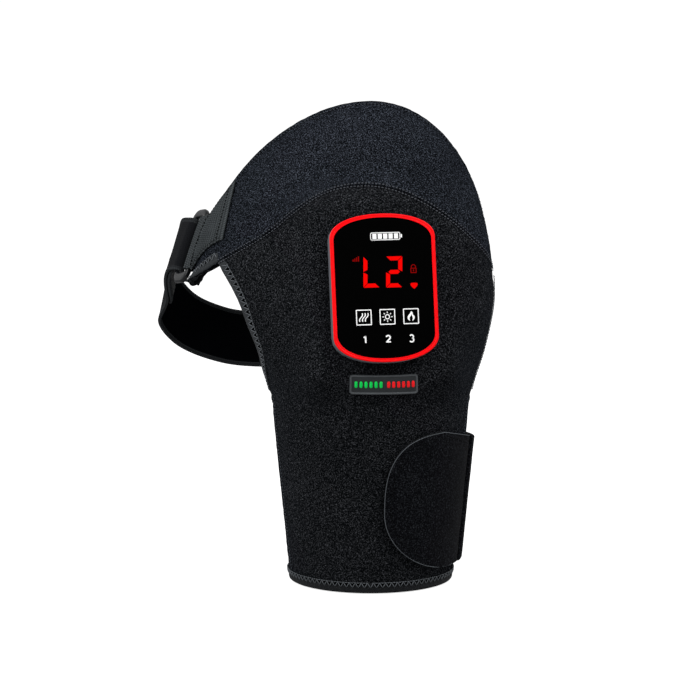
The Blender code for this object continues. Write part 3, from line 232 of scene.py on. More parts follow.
def raw_shell(across, up, back=False):
    """Point of the loft before the controller presses it flat: an arch from left to right through its apex,
    middle - half * cos + bulge * sin; the back half mirrors the sleeve's arches."""
    across, up = np.broadcast_arrays(np.asarray(across, float), np.asarray(up, float))
    row = smooth(ARCH_UP, ARCHES, up)
    left, right, apex = row[..., 0, :], row[..., 1, :], row[..., 2, :]
    middle = (left + right) / 2
    bulge = middle - apex if back else apex - middle
    turn = (math.pi * across)[..., None]
    tuck = 1 - RIM_TUCK_SHARE * np.sin(turn) * (np.cos(turn) < 0) * up[..., None] ** 3
    half = (right - left) / 2
    return middle - half * np.cos(turn) * tuck + bulge * np.sin(turn)


def derivative(surface, across, up, back, step=1e-4):
    """Slopes of a surface for a whole share along and up the loft, from the points a step to each side."""
    across, up = np.broadcast_arrays(np.asarray(across, float), np.asarray(up, float))
    right, left = np.minimum(across + step, 1), np.maximum(across - step, 0)
    top, foot = np.minimum(up + step, 1), np.maximum(up - step, 0)
    along = (surface(right, up, back) - surface(left, up, back)) / (right - left)[..., None]
    rising = (surface(across, top, back) - surface(across, foot, back)) / (top - foot)[..., None]
    return along, rising


def unit(vectors):
    """Vectors scaled to length one."""
    return vectors / np.linalg.norm(vectors, axis=-1, keepdims=True)


def surface_normal(surface, across, up, back=False):
    """Outward unit normal of a surface."""
    along, rising = derivative(surface, across, up, back)
    normal = unit(np.cross(along, rising))
    return -normal if back else normal


def controller_frame():
    """Matrix of the controller's seat: X to its right, Z up its face, Y into the wearer's arm."""
    place = raw_shell(*CONTROLLER_PLACE_SHARES)
    out = surface_normal(raw_shell, *CONTROLLER_PLACE_SHARES)
    upright = np.array((0.0, 0.0, 1.0))
    out = unit(out + SEAT_TURN_SHARE * unit(np.cross(upright, out)))
    up_axis = unit(upright - np.dot(upright, out) * out)
    right_axis = np.cross(up_axis, out)
    frame = np.eye(4)
    frame[:3, 0], frame[:3, 1], frame[:3, 2] = right_axis, -out, up_axis
    frame[:3, 3] = place - SEAT_SINK * out
    return frame


SEAT = controller_frame()


def shell(across, up, back=False):
    """Point of the loft, pressed flat behind the controller and blended back around it."""
    points = raw_shell(across, up, back)
    if back:
        return points
    local = (points - SEAT[:3, 3]) @ SEAT[:3, :3]
    beside = np.maximum(np.abs(local[..., 0]) - CONTROLLER_WIDTH / 2 - SEAT_MARGIN, 0)
    beyond = np.maximum(np.abs(local[..., 2]) - CONTROLLER_HEIGHT / 2 - SEAT_MARGIN, 0)
    fade = np.clip(np.hypot(beside, beyond) / SEAT_BLEND, 0, 1)
    weight = 1 - fade * fade * (3 - 2 * fade)
    return points - (weight * local[..., 1])[..., None] * SEAT[:3, 1]


def at_depth(across, up, depth, back=False):
    """Point below the outer face by a depth; a negative depth stands proud of it."""
    return shell(across, up, back) - np.asarray(depth)[..., None] * surface_normal(shell, across, up, back)


def along_share(across, up, length, back=False):
    """Share along the arch that a length takes at a place."""
    return length / np.linalg.norm(derivative(shell, across, up, back)[0], axis=-1)


def up_share(across, up, length, back=False):
    """Share up the loft that a length takes at a place."""
    return length / np.linalg.norm(derivative(shell, across, up, back)[1], axis=-1)


def armpit_edge(up):
    """Share along the arch where the front panel's free edge runs."""
    rows = ARCH_UP[2:6]
    return np.where(np.asarray(up) <= CLOSED_UP, 0, smooth(rows, ARMPIT_EDGE_SHARES, np.asarray(up, float)))


def seam_up(across):
    """Share up the loft of the seam between front panel and cap."""
    places, rises = np.array(SEAM_RISE_SHARES).T
    return WING_UP + (SEAM_UP - WING_UP) * smooth(places, rises, across)


def rear_top(across):
    """Share up the loft of the armpit's scooped lower edge behind the arm."""
    low = CLOSED_UP - up_share(0.5, CLOSED_UP, ARMPIT_SCOOP, True)
    return low + (CLOSED_UP - low) * np.cos(math.pi * across) ** 4


def sleeve_point(turn_share, height, proud):
    """Point proud of the sleeve at a turn from the front centre, in right angles, and a height."""
    turn_share, height = np.broadcast_arrays(np.asarray(turn_share, float), np.asarray(height, float))
    up = height / ARMPIT_HEIGHT * CLOSED_UP
    front = at_depth((1 + np.minimum(turn_share, 1)) / 2, up, -proud)
    rear = at_depth(1 - np.maximum(turn_share - 1, 0) / 2, up, -proud, True)
    return np.where((turn_share <= 1)[..., None], front, rear)


def flap_grid(margin, proud, rows, columns):
    """D outline: straight seam on the right, and two round shoulders that meet in the tip."""
    hinge_turn = CLOSURE_TURN_SHARES[0]
    quarter = HEM_RADIUS * math.pi / 2
    sweep = np.sin(np.linspace(-math.pi / 2, math.pi / 2, rows))
    middle = CLOSURE_FOOT + CLOSURE_HEIGHT / 2
    height = middle + sweep * (CLOSURE_HEIGHT / 2 - margin)
    exponent = np.where(sweep > 0, FLAP_TOP_ROUND_SHARE, FLAP_FOOT_ROUND_SHARE)
    flat = np.where(sweep > 0, FLAP_TOP_TURN_SHARE, FLAP_FOOT_TURN_SHARE)
    bow = (1 - np.abs(sweep) ** exponent) ** (1 / exponent)
    tip = flat + (FLAP_TIP_TURN_SHARE - flat) * bow + margin / quarter
    root = hinge_turn - (GAP + margin) / quarter
    part = np.linspace(0, 1, columns)
    turn = tip[:, None] + (root - tip)[:, None] * part
    lift = FLAP_LIFT * (np.clip(sweep, 0, 1) ** 2)[:, None] * (1 - part)
    return sleeve_point(turn, height[:, None] + lift, proud)


def buckle_frame():
    """Matrix at the buckle's inner bar: X away from the wing, Z up the bar, Y out of the strap loop."""
    along, rising = derivative(shell, TAB_PLACE_SHARE, 1.0, False)
    rim = unit(along)
    away = unit(rising - np.dot(rising, rim) * rim)
    bar = unit(rim + BUCKLE_DROOP_SHARE * away - BUCKLE_LEAN_SHARE * np.cross(rim, away))
    away = unit(away - np.dot(away, bar) * bar)
    outward = np.cross(bar, away)
    middle = at_depth(TAB_PLACE_SHARE, 1.0, WALL / 2)
    frame = np.eye(4)
    frame[:3, 0], frame[:3, 1], frame[:3, 2] = away, outward, bar
    frame[:3, 3] = middle + TAB_REACH * away
    return frame


BUCKLE = buckle_frame()


def from_buckle(away, outward, bar):
    """Point in the buckle's own directions."""
    return BUCKLE[:3, 3] + away * BUCKLE[:3, 0] + outward * BUCKLE[:3, 1] + bar * BUCKLE[:3, 2]


def strap_fold(turns):
    """Centre of the strap's fold round the outer bar at each turn from the outer face."""
    radius = BUCKLE_BAR / 2 + FOLD_SLACK + STRAP_THICK / 2
    return [from_buckle(BAR_SPACING - radius * math.sin(turn), radius * math.cos(turn), 0) for turn in turns]


def strap_route():
    """Places and centre points of the strap from the buckle to its sewn end."""
    route = np.array(STRAP_ROUTE_SHARES) * (WING_REACH, STRAP_BACK, BUCKLE[2, 3] - ARMPIT_HEIGHT)
    route += SLEEVE_AXIS + (0, 0, ARMPIT_HEIGHT)
    proud = BUCKLE_BAR / 2 + FOLD_SLACK + STRAP_THICK / 2
    start, lead = from_buckle(BAR_SPACING, proud, 0), from_buckle(BAR_SPACING + STRAP_LEAD, proud, 0)
    points = np.vstack((start, lead, route, sewn_rows(np.zeros(1))[0]))
    places = np.concatenate(([0], np.cumsum(np.linalg.norm(np.diff(points, axis=0), axis=1))))
    return places / places[-1], points


def sewn_rows(half):
    """Rows of the strap's end inside the shell's right edge, for offsets across its width."""
    depth = WALL + BINDING_PROUD + STRAP_SEAT_GAP + STRAP_THICK / 2
    up = CLOSED_UP + (ARCH_UP[3] - CLOSED_UP) * STRAP_END_UP_SHARE
    return [at_depth(share, up + up_share(share, up, 1.0) * half, depth) for share in STRAP_END_SHARES]


def face_outline(inset, steps=14):
    """The controller's face: straight sides closed by two flat arches, drawn in by an inset."""
    half = CONTROLLER_WIDTH / 2
    points = []
    for sign, rise in ((1, CONTROLLER_TOP_RISE), (-1, CONTROLLER_FOOT_RISE)):
        level = sign * (CONTROLLER_HEIGHT / 2 - rise)
        for step in range(steps + 1):
            turn = math.pi * step / steps
            x = sign * half * math.copysign(abs(math.cos(turn)) ** ARCH_ROUND, math.cos(turn))
            z = level + sign * rise * abs(math.sin(turn)) ** ARCH_ROUND
            points.append((x, z))
    across = 1 - 2 * inset / CONTROLLER_WIDTH
    tall = 1 - 2 * inset / CONTROLLER_HEIGHT
    return [(x * across, z * tall) for x, z in points]


def rounded_box(width, height, corner, x=0.0, z=0.0, steps=4):
    """Points of a rectangle with round corners."""
    points = []
    for quarter, (sx, sz) in enumerate(((1, 1), (-1, 1), (-1, -1), (1, -1))):
        for step in range(steps + 1):
            turn = math.pi / 2 * (quarter + step / steps)
            points.append((x + sx * (width / 2 - corner) + corner * math.cos(turn),
                           z + sz * (height / 2 - corner) + corner * math.sin(turn)))
    return points


# Arrays and meshes

def lattice(cells):
    """Repeatable value from 0 to 1 for whole-number cells: the fraction of a large sine of a weighted sum."""
    mixed = np.sin(cells @ np.array((12.9898, 78.233, 37.719))) * 43758.5453
    return mixed - np.floor(mixed)


def cloudy(points, size):
    """Soft noise from -1 to 1: values of a lattice of a size, blended by smooth steps between corners."""
    scaled = points / size
    cell = np.floor(scaled)
    part = scaled - cell
    part = part * part * (3 - 2 * part)
    total = np.zeros(points.shape[:-1])
    for corner in np.ndindex(2, 2, 2):
        share = np.prod(np.where(corner, part, 1 - part), axis=-1)
        total += share * lattice(cell + corner)
    return 2 * total - 1


def crowded(steps, share=0.85):
    """Steps from 0 to 1 that crowd at both ends: a straight run less a share of one sine wave."""
    part = np.linspace(0, 1, steps + 1)
    return part - share * np.sin(2 * math.pi * part) / (2 * math.pi)


def eased(low, high, values):
    """Smooth step from 0 at the low value to 1 at the high one."""
    part = np.clip((np.asarray(values, float) - low) / (high - low), 0, 1)
    return part * part * (3 - 2 * part)


def run_of(points, axis):
    """Length walked along one axis of a grid of points, from its first row or column."""
    steps = np.linalg.norm(np.diff(points, axis=axis), axis=-1)
    walked = np.cumsum(steps, axis=axis)
    return np.concatenate((np.zeros_like(np.take(walked, [0], axis=axis)), walked), axis=axis)


def at_walked(places, walked, line):
    """Points of a line at places along its walked length."""
    return np.stack([np.interp(places, walked, line[:, axis]) for axis in range(3)], axis=-1)


def quads_of(rows, columns, around=False, along=False):
    """Corners of the faces between neighbouring grid points, closed round the columns or rows where asked."""
    grid = np.arange(rows * columns).reshape(rows, columns)
    if around:
        grid = np.column_stack((grid, grid[:, 0]))
    if along:
        grid = np.vstack((grid, grid[:1]))
    corners = (grid[:-1, :-1], grid[:-1, 1:], grid[1:, 1:], grid[1:, :-1])
    return np.stack(corners, axis=-1).reshape(-1, 4)


def gather(parts):
    """One pair of points and faces from several, each part's corner numbers moved past those before it."""
    points, faces, count = [], [], 0
    for some_points, some_faces in parts:
        some_points = np.asarray(some_points, float).reshape(-1, 3)
        points.append(some_points)
        faces.extend((np.asarray(block) + count).tolist() for block in some_faces)
        count += len(some_points)
    return np.concatenate(points), [face for block in faces for face in block]


def piece(name, body, shades, points, faces, uv=None, marks=None, slot=None):
    """Smooth object at the origin from points and faces, with its materials, UV map and body."""
    mesh = bpy.data.meshes.new(name)
    mesh.from_pydata(np.asarray(points, float).reshape(-1, 3).tolist(), [], faces)
    mesh.shade_smooth()
    item = bpy.data.objects.new(name, mesh)
    bpy.context.scene.collection.objects.link(item)
    for shade in shades if isinstance(shades, (list, tuple)) else (shades,):
        mesh.materials.append(shade)
    if uv is not None:
        corner = np.zeros(len(mesh.loops), np.int32)
        mesh.loops.foreach_get("vertex_index", corner)
        layer = mesh.uv_layers.new(name="weave")
        layer.data.foreach_set("uv", np.asarray(uv, float).reshape(-1, 2)[corner].astype(np.float32).ravel())
    if marks is not None:
        mesh.polygons.foreach_set("material_index", np.asarray(marks, np.int32))
    if body is not None:
        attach(item, body)
    return item


def sharpen(item, degrees):
    """Mark edges steeper than an angle as sharp."""
    item.data.set_sharp_from_angle(angle=math.radians(degrees))


def lay_of(points, normals):
    """Direction along each path of points, and the one across it on the surface."""
    heading = unit(np.gradient(points, axis=-2))
    return heading, unit(np.cross(normals, heading))


def thread(points, normals, width, height, sides=6, round_ends=True):
    """Threads along paths: at each point an ellipse of a width and height, drawn to a tip at both ends."""
    points, normals = np.asarray(points, float), np.asarray(normals, float)
    if points.ndim == 2:
        points, normals = points[None], normals[None]
    count, steps = points.shape[:2]
    heading, aside = lay_of(points, normals)
    lift = unit(np.cross(heading, aside))
    turn = np.linspace(0, 2 * math.pi, sides, endpoint=False)
    size = np.ones(steps)
    if round_ends:
        size = np.sin(math.pi * np.linspace(0.04, 0.96, steps)) ** 0.5
    size = size[None, :, None, None]
    ring = (np.cos(turn)[:, None] * aside[:, :, None] * width
            + np.sin(turn)[:, None] * lift[:, :, None] * height) / 2
    made = points[:, :, None] + size * ring
    first = np.arange(count)[:, None, None] * steps * sides
    sides_of = (quads_of(steps, sides, around=True)[None] + first).reshape(-1, 4)
    loop = np.arange(sides)
    start = first[:, 0] + loop[::-1]
    end = first[:, 0] + (steps - 1) * sides + loop
    return made.reshape(-1, 3), [sides_of, start, end]


def stitch_row(line, normals, pitch, length, width, height, sink=0.25, steps=6):
    """Running stitches on a line: one each pitch, a length long, its middle standing out as half a sine."""
    walked = run_of(line[None], 1)[0]
    starts = np.arange(pitch / 2, walked[-1] - length, pitch)
    part = np.linspace(0, 1, steps)
    places = starts[:, None] + length * part
    centres = at_walked(places, walked, line)
    out = unit(at_walked(places, walked, normals))
    rise = height * (np.sin(math.pi * part) - sink)
    return thread(centres + rise[:, None] * out, out, width, height)


def zigzag(edge, inner, normals, pitch, width, height, steps=6):
    """Zigzag thread between two lines: each leg crosses from one to the other while half a pitch passes."""
    walked = run_of(edge[None], 1)[0]
    count = int(walked[-1] / pitch) * 2
    ends = np.linspace(0, walked[-1], count + 1)
    side = (np.arange(count + 1) % 2)[:, None]
    corners = at_walked(ends, walked, edge) * (1 - side) + at_walked(ends, walked, inner) * side
    part = np.linspace(0, 1, steps)[None, :, None]
    legs = corners[:-1, None] * (1 - part) + corners[1:, None] * part
    out = unit(at_walked((ends[:-1] + ends[1:]) / 2, walked, normals))[:, None] + np.zeros_like(legs)
    rise = height * (0.35 + 0.4 * np.sin(math.pi * part))
    return thread(legs + rise * out, out, width, height)


def hole_shade_discs(centres, normals, radius, proud=0.00008, sides=7):
    """Painted shade of small stitch holes: dark flat rings of points round each centre, just proud of the
    cloth.
    """
    aside = unit(np.cross(normals, (0.31, 0.52, 0.79)))
    other = np.cross(normals, aside)
    turn = np.linspace(0, 2 * math.pi, sides, endpoint=False)[:, None]
    ring = centres[:, None] + proud * normals[:, None] + radius * (
        np.cos(turn) * aside[:, None] + np.sin(turn) * other[:, None])
    faces = np.arange(len(centres))[:, None] * sides + np.arange(sides)
    return ring.reshape(-1, 3), [faces]


# Finishes

def tone(red, green, blue):
    """Scene colour of an 8-bit screen colour."""
    share = np.array((red, green, blue)) / 255
    made = np.where(share <= 0.04045, share / 12.92, ((share + 0.055) / 1.055) ** 2.4)
    return (*made.tolist(), 1.0)


def node(tree, kind, inputs=None, **settings):
    """A shader node with its settings, and a value or a link for each named or numbered input."""
    made = tree.nodes.new(kind)
    for key, value in settings.items():
        setattr(made, key, value)
    for key, value in (inputs or {}).items():
        if isinstance(value, bpy.types.NodeSocket):
            tree.links.new(value, made.inputs[key])
        else:
            made.inputs[key].default_value = value
    return made


def maths(tree, operation, *values):
    """Result of a math node."""
    return node(tree, "ShaderNodeMath", dict(enumerate(values)), operation=operation).outputs[0]


def ranged(tree, value, low, high, to_low=0.0, to_high=1.0):
    """Value moved from one range to another, held inside it."""
    made = node(tree, "ShaderNodeMapRange", {0: value, 1: low, 2: high, 3: to_low, 4: to_high})
    return made.outputs[0]


def blended(tree, share, first, second, how="MIX"):
    """Mix of two colours."""
    made = node(tree, "ShaderNodeMix", {0: share, 6: first, 7: second}, data_type="RGBA", blend_type=how)
    return made.outputs[2]


def group(name, inputs, outputs):
    """Empty node group with named inputs and outputs; gives its tree, its input node and its output node."""
    tree = bpy.data.node_groups.new(name, "ShaderNodeTree")
    for label, kind, value in inputs:
        socket = tree.interface.new_socket(label, in_out="INPUT", socket_type=kind)
        socket.default_value = value
    for label, kind in outputs:
        tree.interface.new_socket(label, in_out="OUTPUT", socket_type=kind)
    return tree, tree.nodes.new("NodeGroupInput"), tree.nodes.new("NodeGroupOutput")


COLOUR, VALUE = "NodeSocketColor", "NodeSocketFloat"
LOOKS = [("Colour", COLOUR), ("Roughness", VALUE), ("Height", VALUE)]


def make_pile_group():
    """Brushed pile: tufts between dark ground and lighter fibre ends, finer tips, and a faint nap."""
    tree, given, result = group("brushed pile", [
        ("Ground", COLOUR, tone(10, 11, 13)), ("Fibre ends", COLOUR, tone(70, 74, 80)),
        ("Tufts per metre", VALUE, 900.0), ("Ends shown", VALUE, 0.6)], LOOKS)
    place = node(tree, "ShaderNodeTexCoord").outputs["Object"]
    tufts = node(tree, "ShaderNodeTexNoise", {"Vector": place, "Scale": given.outputs[2], "Detail": 3.0,
                                              "Roughness": 0.62}).outputs[0]
    finer = maths(tree, "MULTIPLY", given.outputs[2], 2.1)
    tips = node(tree, "ShaderNodeTexVoronoi", {"Vector": place, "Scale": finer}).outputs["Distance"]
    nap = node(tree, "ShaderNodeTexNoise", {"Vector": place, "Scale": 28.0, "Detail": 2.0}).outputs[0]
    bright = ranged(tree, tips, 0.55, 0.05, 0.35, 1.0)
    raised = maths(tree, "POWER", ranged(tree, tufts, 0.42, 0.67), 2.2)
    lain = ranged(tree, nap, 0.3, 0.7, 0.80, 1.15)
    shown = maths(tree, "MULTIPLY", maths(tree, "MULTIPLY", raised, bright),
                  maths(tree, "MULTIPLY", given.outputs[3], lain))
    tree.links.new(blended(tree, shown, given.outputs[0], given.outputs[1]), result.inputs[0])
    tree.links.new(ranged(tree, tufts, 0.3, 0.7, 0.98, 0.82), result.inputs[1])
    tree.links.new(maths(tree, "ADD", tufts, maths(tree, "MULTIPLY", bright, 0.25)), result.inputs[2])
    return tree


def make_weave_group():
    """Woven tape: ribs along its length, crossed by short alternating picks, from its own map in metres."""
    tree, given, result = group("woven tape", [
        ("Yarn", COLOUR, tone(44, 49, 50)), ("Between", COLOUR, tone(14, 16, 17)),
        ("Rib", VALUE, 0.0016), ("Pick", VALUE, 0.0009)], LOOKS)
    place = node(tree, "ShaderNodeUVMap", uv_map="weave").outputs[0]
    parts = node(tree, "ShaderNodeSeparateXYZ", {0: place}).outputs
    across = maths(tree, "DIVIDE", parts[0], given.outputs[2])
    along = maths(tree, "DIVIDE", parts[1], given.outputs[3])
    shift = maths(tree, "MULTIPLY", maths(tree, "FLOOR", across), 0.5)
    rib = maths(tree, "ABSOLUTE", maths(tree, "SINE", maths(tree, "MULTIPLY", across, math.pi)))
    pick = maths(tree, "ABSOLUTE", maths(tree, "SINE", maths(tree, "MULTIPLY",
                                                           maths(tree, "ADD", along, shift), math.pi)))
    form = maths(tree, "MULTIPLY", maths(tree, "POWER", rib, 0.6), maths(tree, "POWER", pick, 0.5))
    fuzz = node(tree, "ShaderNodeTexNoise", {"Vector": place, "Scale": 2500.0, "Detail": 2.0}).outputs[0]
    worn = node(tree, "ShaderNodeTexNoise", {"Vector": place, "Scale": 90.0, "Detail": 3.0}).outputs[0]
    lit = maths(tree, "MULTIPLY", form, ranged(tree, fuzz, 0.3, 0.7, 0.75, 1.1))
    colour = blended(tree, lit, given.outputs[1], given.outputs[0])
    softer = blended(tree, ranged(tree, worn, 0.35, 0.7, 0.0, 0.3), colour, given.outputs[0])
    tree.links.new(softer, result.inputs[0])
    tree.links.new(ranged(tree, form, 0.0, 1.0, 0.95, 0.7), result.inputs[1])
    tree.links.new(maths(tree, "ADD", form, maths(tree, "MULTIPLY", fuzz, 0.3)), result.inputs[2])
    return tree


def make_grain_group():
    """Moulded plastic: a fine pebble grain, with faint broad unevenness of colour and gloss."""
    tree, given, result = group("moulded grain", [
        ("Base", COLOUR, tone(60, 65, 70)), ("Grains per metre", VALUE, 2500.0),
        ("Gloss low", VALUE, 0.35), ("Gloss high", VALUE, 0.55)], LOOKS)
    place = node(tree, "ShaderNodeTexCoord").outputs["Object"]
    pebble = node(tree, "ShaderNodeTexNoise",
                  {"Vector": place, "Scale": given.outputs[1], "Detail": 2.0}).outputs[0]
    broad = node(tree, "ShaderNodeTexNoise", {"Vector": place, "Scale": 120.0, "Detail": 4.0}).outputs[0]
    darker = blended(tree, ranged(tree, broad, 0.3, 0.75, 0.0, 0.22), given.outputs[0], (0.0, 0.0, 0.0, 1.0))
    tree.links.new(darker, result.inputs[0])
    rough = ranged(tree, broad, 0.3, 0.7, given.outputs[2], given.outputs[3])
    tree.links.new(rough, result.inputs[1])
    tree.links.new(pebble, result.inputs[2])
    return tree


def finish(name, looks, values, bump=0.3, reach=0.0004, **constants):
    """Material from one of the groups: its values, how deep its relief is, and constants on the shader."""
    made = bpy.data.materials.new(name)
    made.use_nodes = True
    tree = made.node_tree
    shader = tree.nodes["Principled BSDF"]
    for label, value in constants.items():
        shader.inputs[label.replace("_", " ")].default_value = value
    placed = node(tree, "ShaderNodeGroup", node_tree=looks)
    for label, value in values.items():
        placed.inputs[label].default_value = value
    tree.links.new(placed.outputs[0], shader.inputs["Base Color"])
    tree.links.new(placed.outputs[1], shader.inputs["Roughness"])
    relief = node(tree, "ShaderNodeBump", {"Strength": bump, "Distance": reach, "Height": placed.outputs[2]})
    tree.links.new(relief.outputs[0], shader.inputs["Normal"])
    return made


# Camera, lamps and floor

VIEW_TURN = math.radians(78)
VIEW_SPAN = 0.462
VIEW_POINT = Vector((0.01572, -0.006185, 0.15317))
VIEW_FAR = 1.5
FLOOR_HALF, FLOOR_DROP = 9, -0.0005
DOME_LIGHT, FLOOR_GLOW = 0.41, 0.80


def make_studio():
    """Camera at the photograph's angle, two soft lamps, a pale dome, and a floor that looks white."""
    bpy.context.scene.view_settings.view_transform = "Standard"
    camera = bpy.data.cameras.new("camera")
    camera.type = "ORTHO"
    camera.ortho_scale = VIEW_SPAN
    camera.clip_end = 20
    stand = bpy.data.objects.new("camera", camera)
    stand.rotation_euler = (VIEW_TURN, 0, 0)
    look = Vector((0, math.sin(VIEW_TURN), -math.cos(VIEW_TURN)))
    stand.location = VIEW_POINT - VIEW_FAR * look
    bpy.context.scene.collection.objects.link(stand)
    bpy.context.scene.camera = stand

    for name, place, aim, size, watts in (
            ("lamp_left", (-0.95, -0.60, 1.00), (0.02, 0, 0.16), 0.9, 20.0),
            ("lamp_right", (0.62, -0.42, 1.05), (0.02, 0, 0.2), 0.8, 13.5)):
        lamp = bpy.data.lights.new(name, "AREA")
        lamp.size = size
        lamp.energy = watts
        held = bpy.data.objects.new(name, lamp)
        held.location = place
        held.rotation_euler = (Vector(aim) - Vector(place)).to_track_quat("-Z", "Y").to_euler()
        bpy.context.scene.collection.objects.link(held)

    world = bpy.data.worlds.new("dome")
    world.use_nodes = True
    bpy.context.scene.world = world
    tree = world.node_tree
    path = node(tree, "ShaderNodeLightPath").outputs
    mirrored = maths(tree, "ADD", path["Is Glossy Ray"], path["Is Transmission Ray"])
    seen = maths(tree, "MINIMUM", maths(tree, "ADD", path["Is Camera Ray"], mirrored), 1.0)
    strength = ranged(tree, seen, 0.0, 1.0, DOME_LIGHT, 1.0)
    backdrop = tree.nodes["Background"]
    backdrop.inputs["Color"].default_value = (1.0, 1.0, 1.0, 1.0)
    tree.links.new(strength, backdrop.inputs["Strength"])

    floor = bpy.data.meshes.new("floor")
    corners = ((-1, -1), (1, -1), (1, 1), (-1, 1))
    floor.from_pydata([(x * FLOOR_HALF, y * FLOOR_HALF, FLOOR_DROP) for x, y in corners], [], [(0, 1, 2, 3)])
    ground = bpy.data.objects.new("floor", floor)
    bpy.context.scene.collection.objects.link(ground)
    shade = bpy.data.materials.new("pale floor")
    shade.use_nodes = True
    tree = shade.node_tree
    surface = tree.nodes["Principled BSDF"]
    surface.inputs["Base Color"].default_value = (0.45, 0.45, 0.45, 1.0)
    surface.inputs["Roughness"].default_value = 0.9
    surface.inputs["Specular IOR Level"].default_value = 0.0
    surface.inputs["Emission Color"].default_value = (1.0, 1.0, 1.0, 1.0)
    path = node(tree, "ShaderNodeLightPath").outputs
    glow = maths(tree, "MULTIPLY", path["Is Camera Ray"], FLOOR_GLOW)
    tree.links.new(glow, surface.inputs["Emission Strength"])
    floor.materials.append(shade)


make_studio()


# Padded walls of the shell

PILE_RISE = 0.00022
SOFT_RISE = 0.00045
SEAM_ROLL = 0.0007
EDGE_ROLL = WALL / 2 - 0.0002
SEAM_ROW = 0.0012
RIM_ROW = 0.0052
# Width of the band of painted shade along the rolled rims
EDGE_SHADE_BAND = 0.0026
ROW_END = 0.0060
SIDE_ROW = 0.0150
ROW_DIP = 0.00040
ROW_CHANNEL = 0.0024
PUFF_GRID = (42, 50)
PUFF_FRAMES = 20
PUFF_FORCE = 4.0
PUFF_STIFFNESS = 20.0
PUFF_BEND = 2.0
PUFF_CAP = 0.0009
WING_PULL = (-0.0060, 0.0, 0.0030)
SOFT_CLOUD, SOFT_FADE = 0.028, 0.012
PILE_CLOUDS = (0.0013, 0.0031)
DIP_WIDTH = 0.0006
FRONT_CELLS, CAP_CELLS, REAR_CELLS = (190, 170), (210, 110), (150, 90)
SEAM_ROUNDS = 6
TAPE_OVER, HEM_OVER = 0.0006, 0.0008
BADGE_BELOW, BADGE_ABOVE = 0.004, 0.008


def outward(item):
    """Turn every face of a closed piece outwards."""
    made = bmesh.new()
    made.from_mesh(item.data)
    bmesh.ops.recalc_face_normals(made, faces=made.faces)
    made.to_mesh(item.data)
    made.free()
    return item


def closed_sheet(outer, inner):
    """Points and faces of a wall between two grids, closed round its edge, with a mark for each face."""
    rows, columns = outer.shape[:2]
    count = rows * columns
    quads = quads_of(rows, columns)
    grid = np.arange(count).reshape(rows, columns)
    rim = np.concatenate((grid[0, :-1], grid[:-1, -1], grid[-1, :0:-1], grid[:0:-1, 0]))
    following = np.roll(rim, -1)
    edge = np.stack((following, rim, rim + count, following + count), axis=-1)
    faces = np.concatenate((quads, quads[:, ::-1] + count, edge))
    marks = np.repeat((0, 1, 2), (len(quads), len(quads), len(edge)))
    return np.concatenate((outer.reshape(-1, 3), inner.reshape(-1, 3))), faces.tolist(), marks


def rolled(distance, radius):
    """Depth of a round edge: a quarter circle of a radius, deepest where the distance to the edge is zero."""
    near = np.clip(radius - distance, 0, radius)
    return radius - np.sqrt(np.maximum(radius ** 2 - near ** 2, 0))


def edge_distances(points):
    """Distance of each grid point to the left, right, foot and top edges, walked over the grid."""
    along, rising = run_of(points, 1), run_of(points, 0)
    return along, along[:, -1:] - along, rising, rising[-1:] - rising


def fastened_at(face):
    """Which points of a face lie under the controller's foot or the badge, where the wall is held flat."""
    local = (face - SEAT[:3, 3]) @ SEAT[:3, :3]
    under = (np.abs(local[..., 0]) < CONTROLLER_WIDTH / 2) & (np.abs(local[..., 2]) < CONTROLLER_HEIGHT / 2)
    low, high = (np.array(corner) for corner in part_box("badge"))
    beside = np.all((face > low - BADGE_BELOW) & (face < high + BADGE_ABOVE), axis=-1)
    return (under & (local[..., 1] < 0.03) & (local[..., 1] > -0.03)) | beside


def pressed(face, normal, fastened):
    """How far a padded face swells: Blender's Cloth under pressure on a coarse closed copy of the wall, held
    at its edges, its lining and under what is fastened to it. Each point's way out is capped and carried back
    to the fine grid by a smooth curve."""
    picks = [np.linspace(0, count - 1, coarse).round().astype(int)
             for count, coarse in zip(face.shape, PUFF_GRID)]
    chosen = np.ix_(*picks)
    points, faces, _ = closed_sheet(face[chosen], face[chosen] - WALL * normal[chosen])
    held = np.ones((2, *PUFF_GRID), bool)
    held[0, 1:-1, 1:-1] = fastened[chosen][1:-1, 1:-1]
    mesh = bpy.data.meshes.new("puff")
    mesh.from_pydata(points.tolist(), [], faces)
    item = bpy.data.objects.new("puff", mesh)
    bpy.context.scene.collection.objects.link(item)
    item.vertex_groups.new(name="held").add(np.flatnonzero(held.ravel()).tolist(), 1.0, "REPLACE")
    cloth = item.modifiers.new("pressure", "CLOTH")
    settings = cloth.settings
    settings.vertex_group_mass = "held"
    settings.use_pressure = True
    settings.uniform_pressure_force = PUFF_FORCE
    settings.effector_weights.gravity = 0.0
    settings.tension_stiffness = settings.compression_stiffness = PUFF_STIFFNESS
    settings.bending_stiffness = PUFF_BEND
    cloth.point_cache.frame_start, cloth.point_cache.frame_end = 1, PUFF_FRAMES
    for frame_now in range(1, PUFF_FRAMES + 1):
        bpy.context.scene.frame_set(frame_now)
    settled = item.evaluated_get(bpy.context.evaluated_depsgraph_get()).data
    moved = np.zeros(len(points) * 3, np.float32)
    settled.vertices.foreach_get("co", moved)
    bpy.context.scene.frame_set(1)
    bpy.data.objects.remove(item)
    bpy.data.meshes.remove(mesh)
    shift = (moved.reshape(-1, 3) - points)[:held[0].size].reshape(*PUFF_GRID, 3)
    shift = np.maximum(np.sum(shift * normal[chosen], axis=-1), 0)
    shift = PUFF_CAP * (1 - np.exp(-shift / PUFF_CAP))
    rows = smooth(picks[0], shift, np.arange(face.shape[0]))
    return smooth(picks[1], rows.T, np.arange(face.shape[1])).T


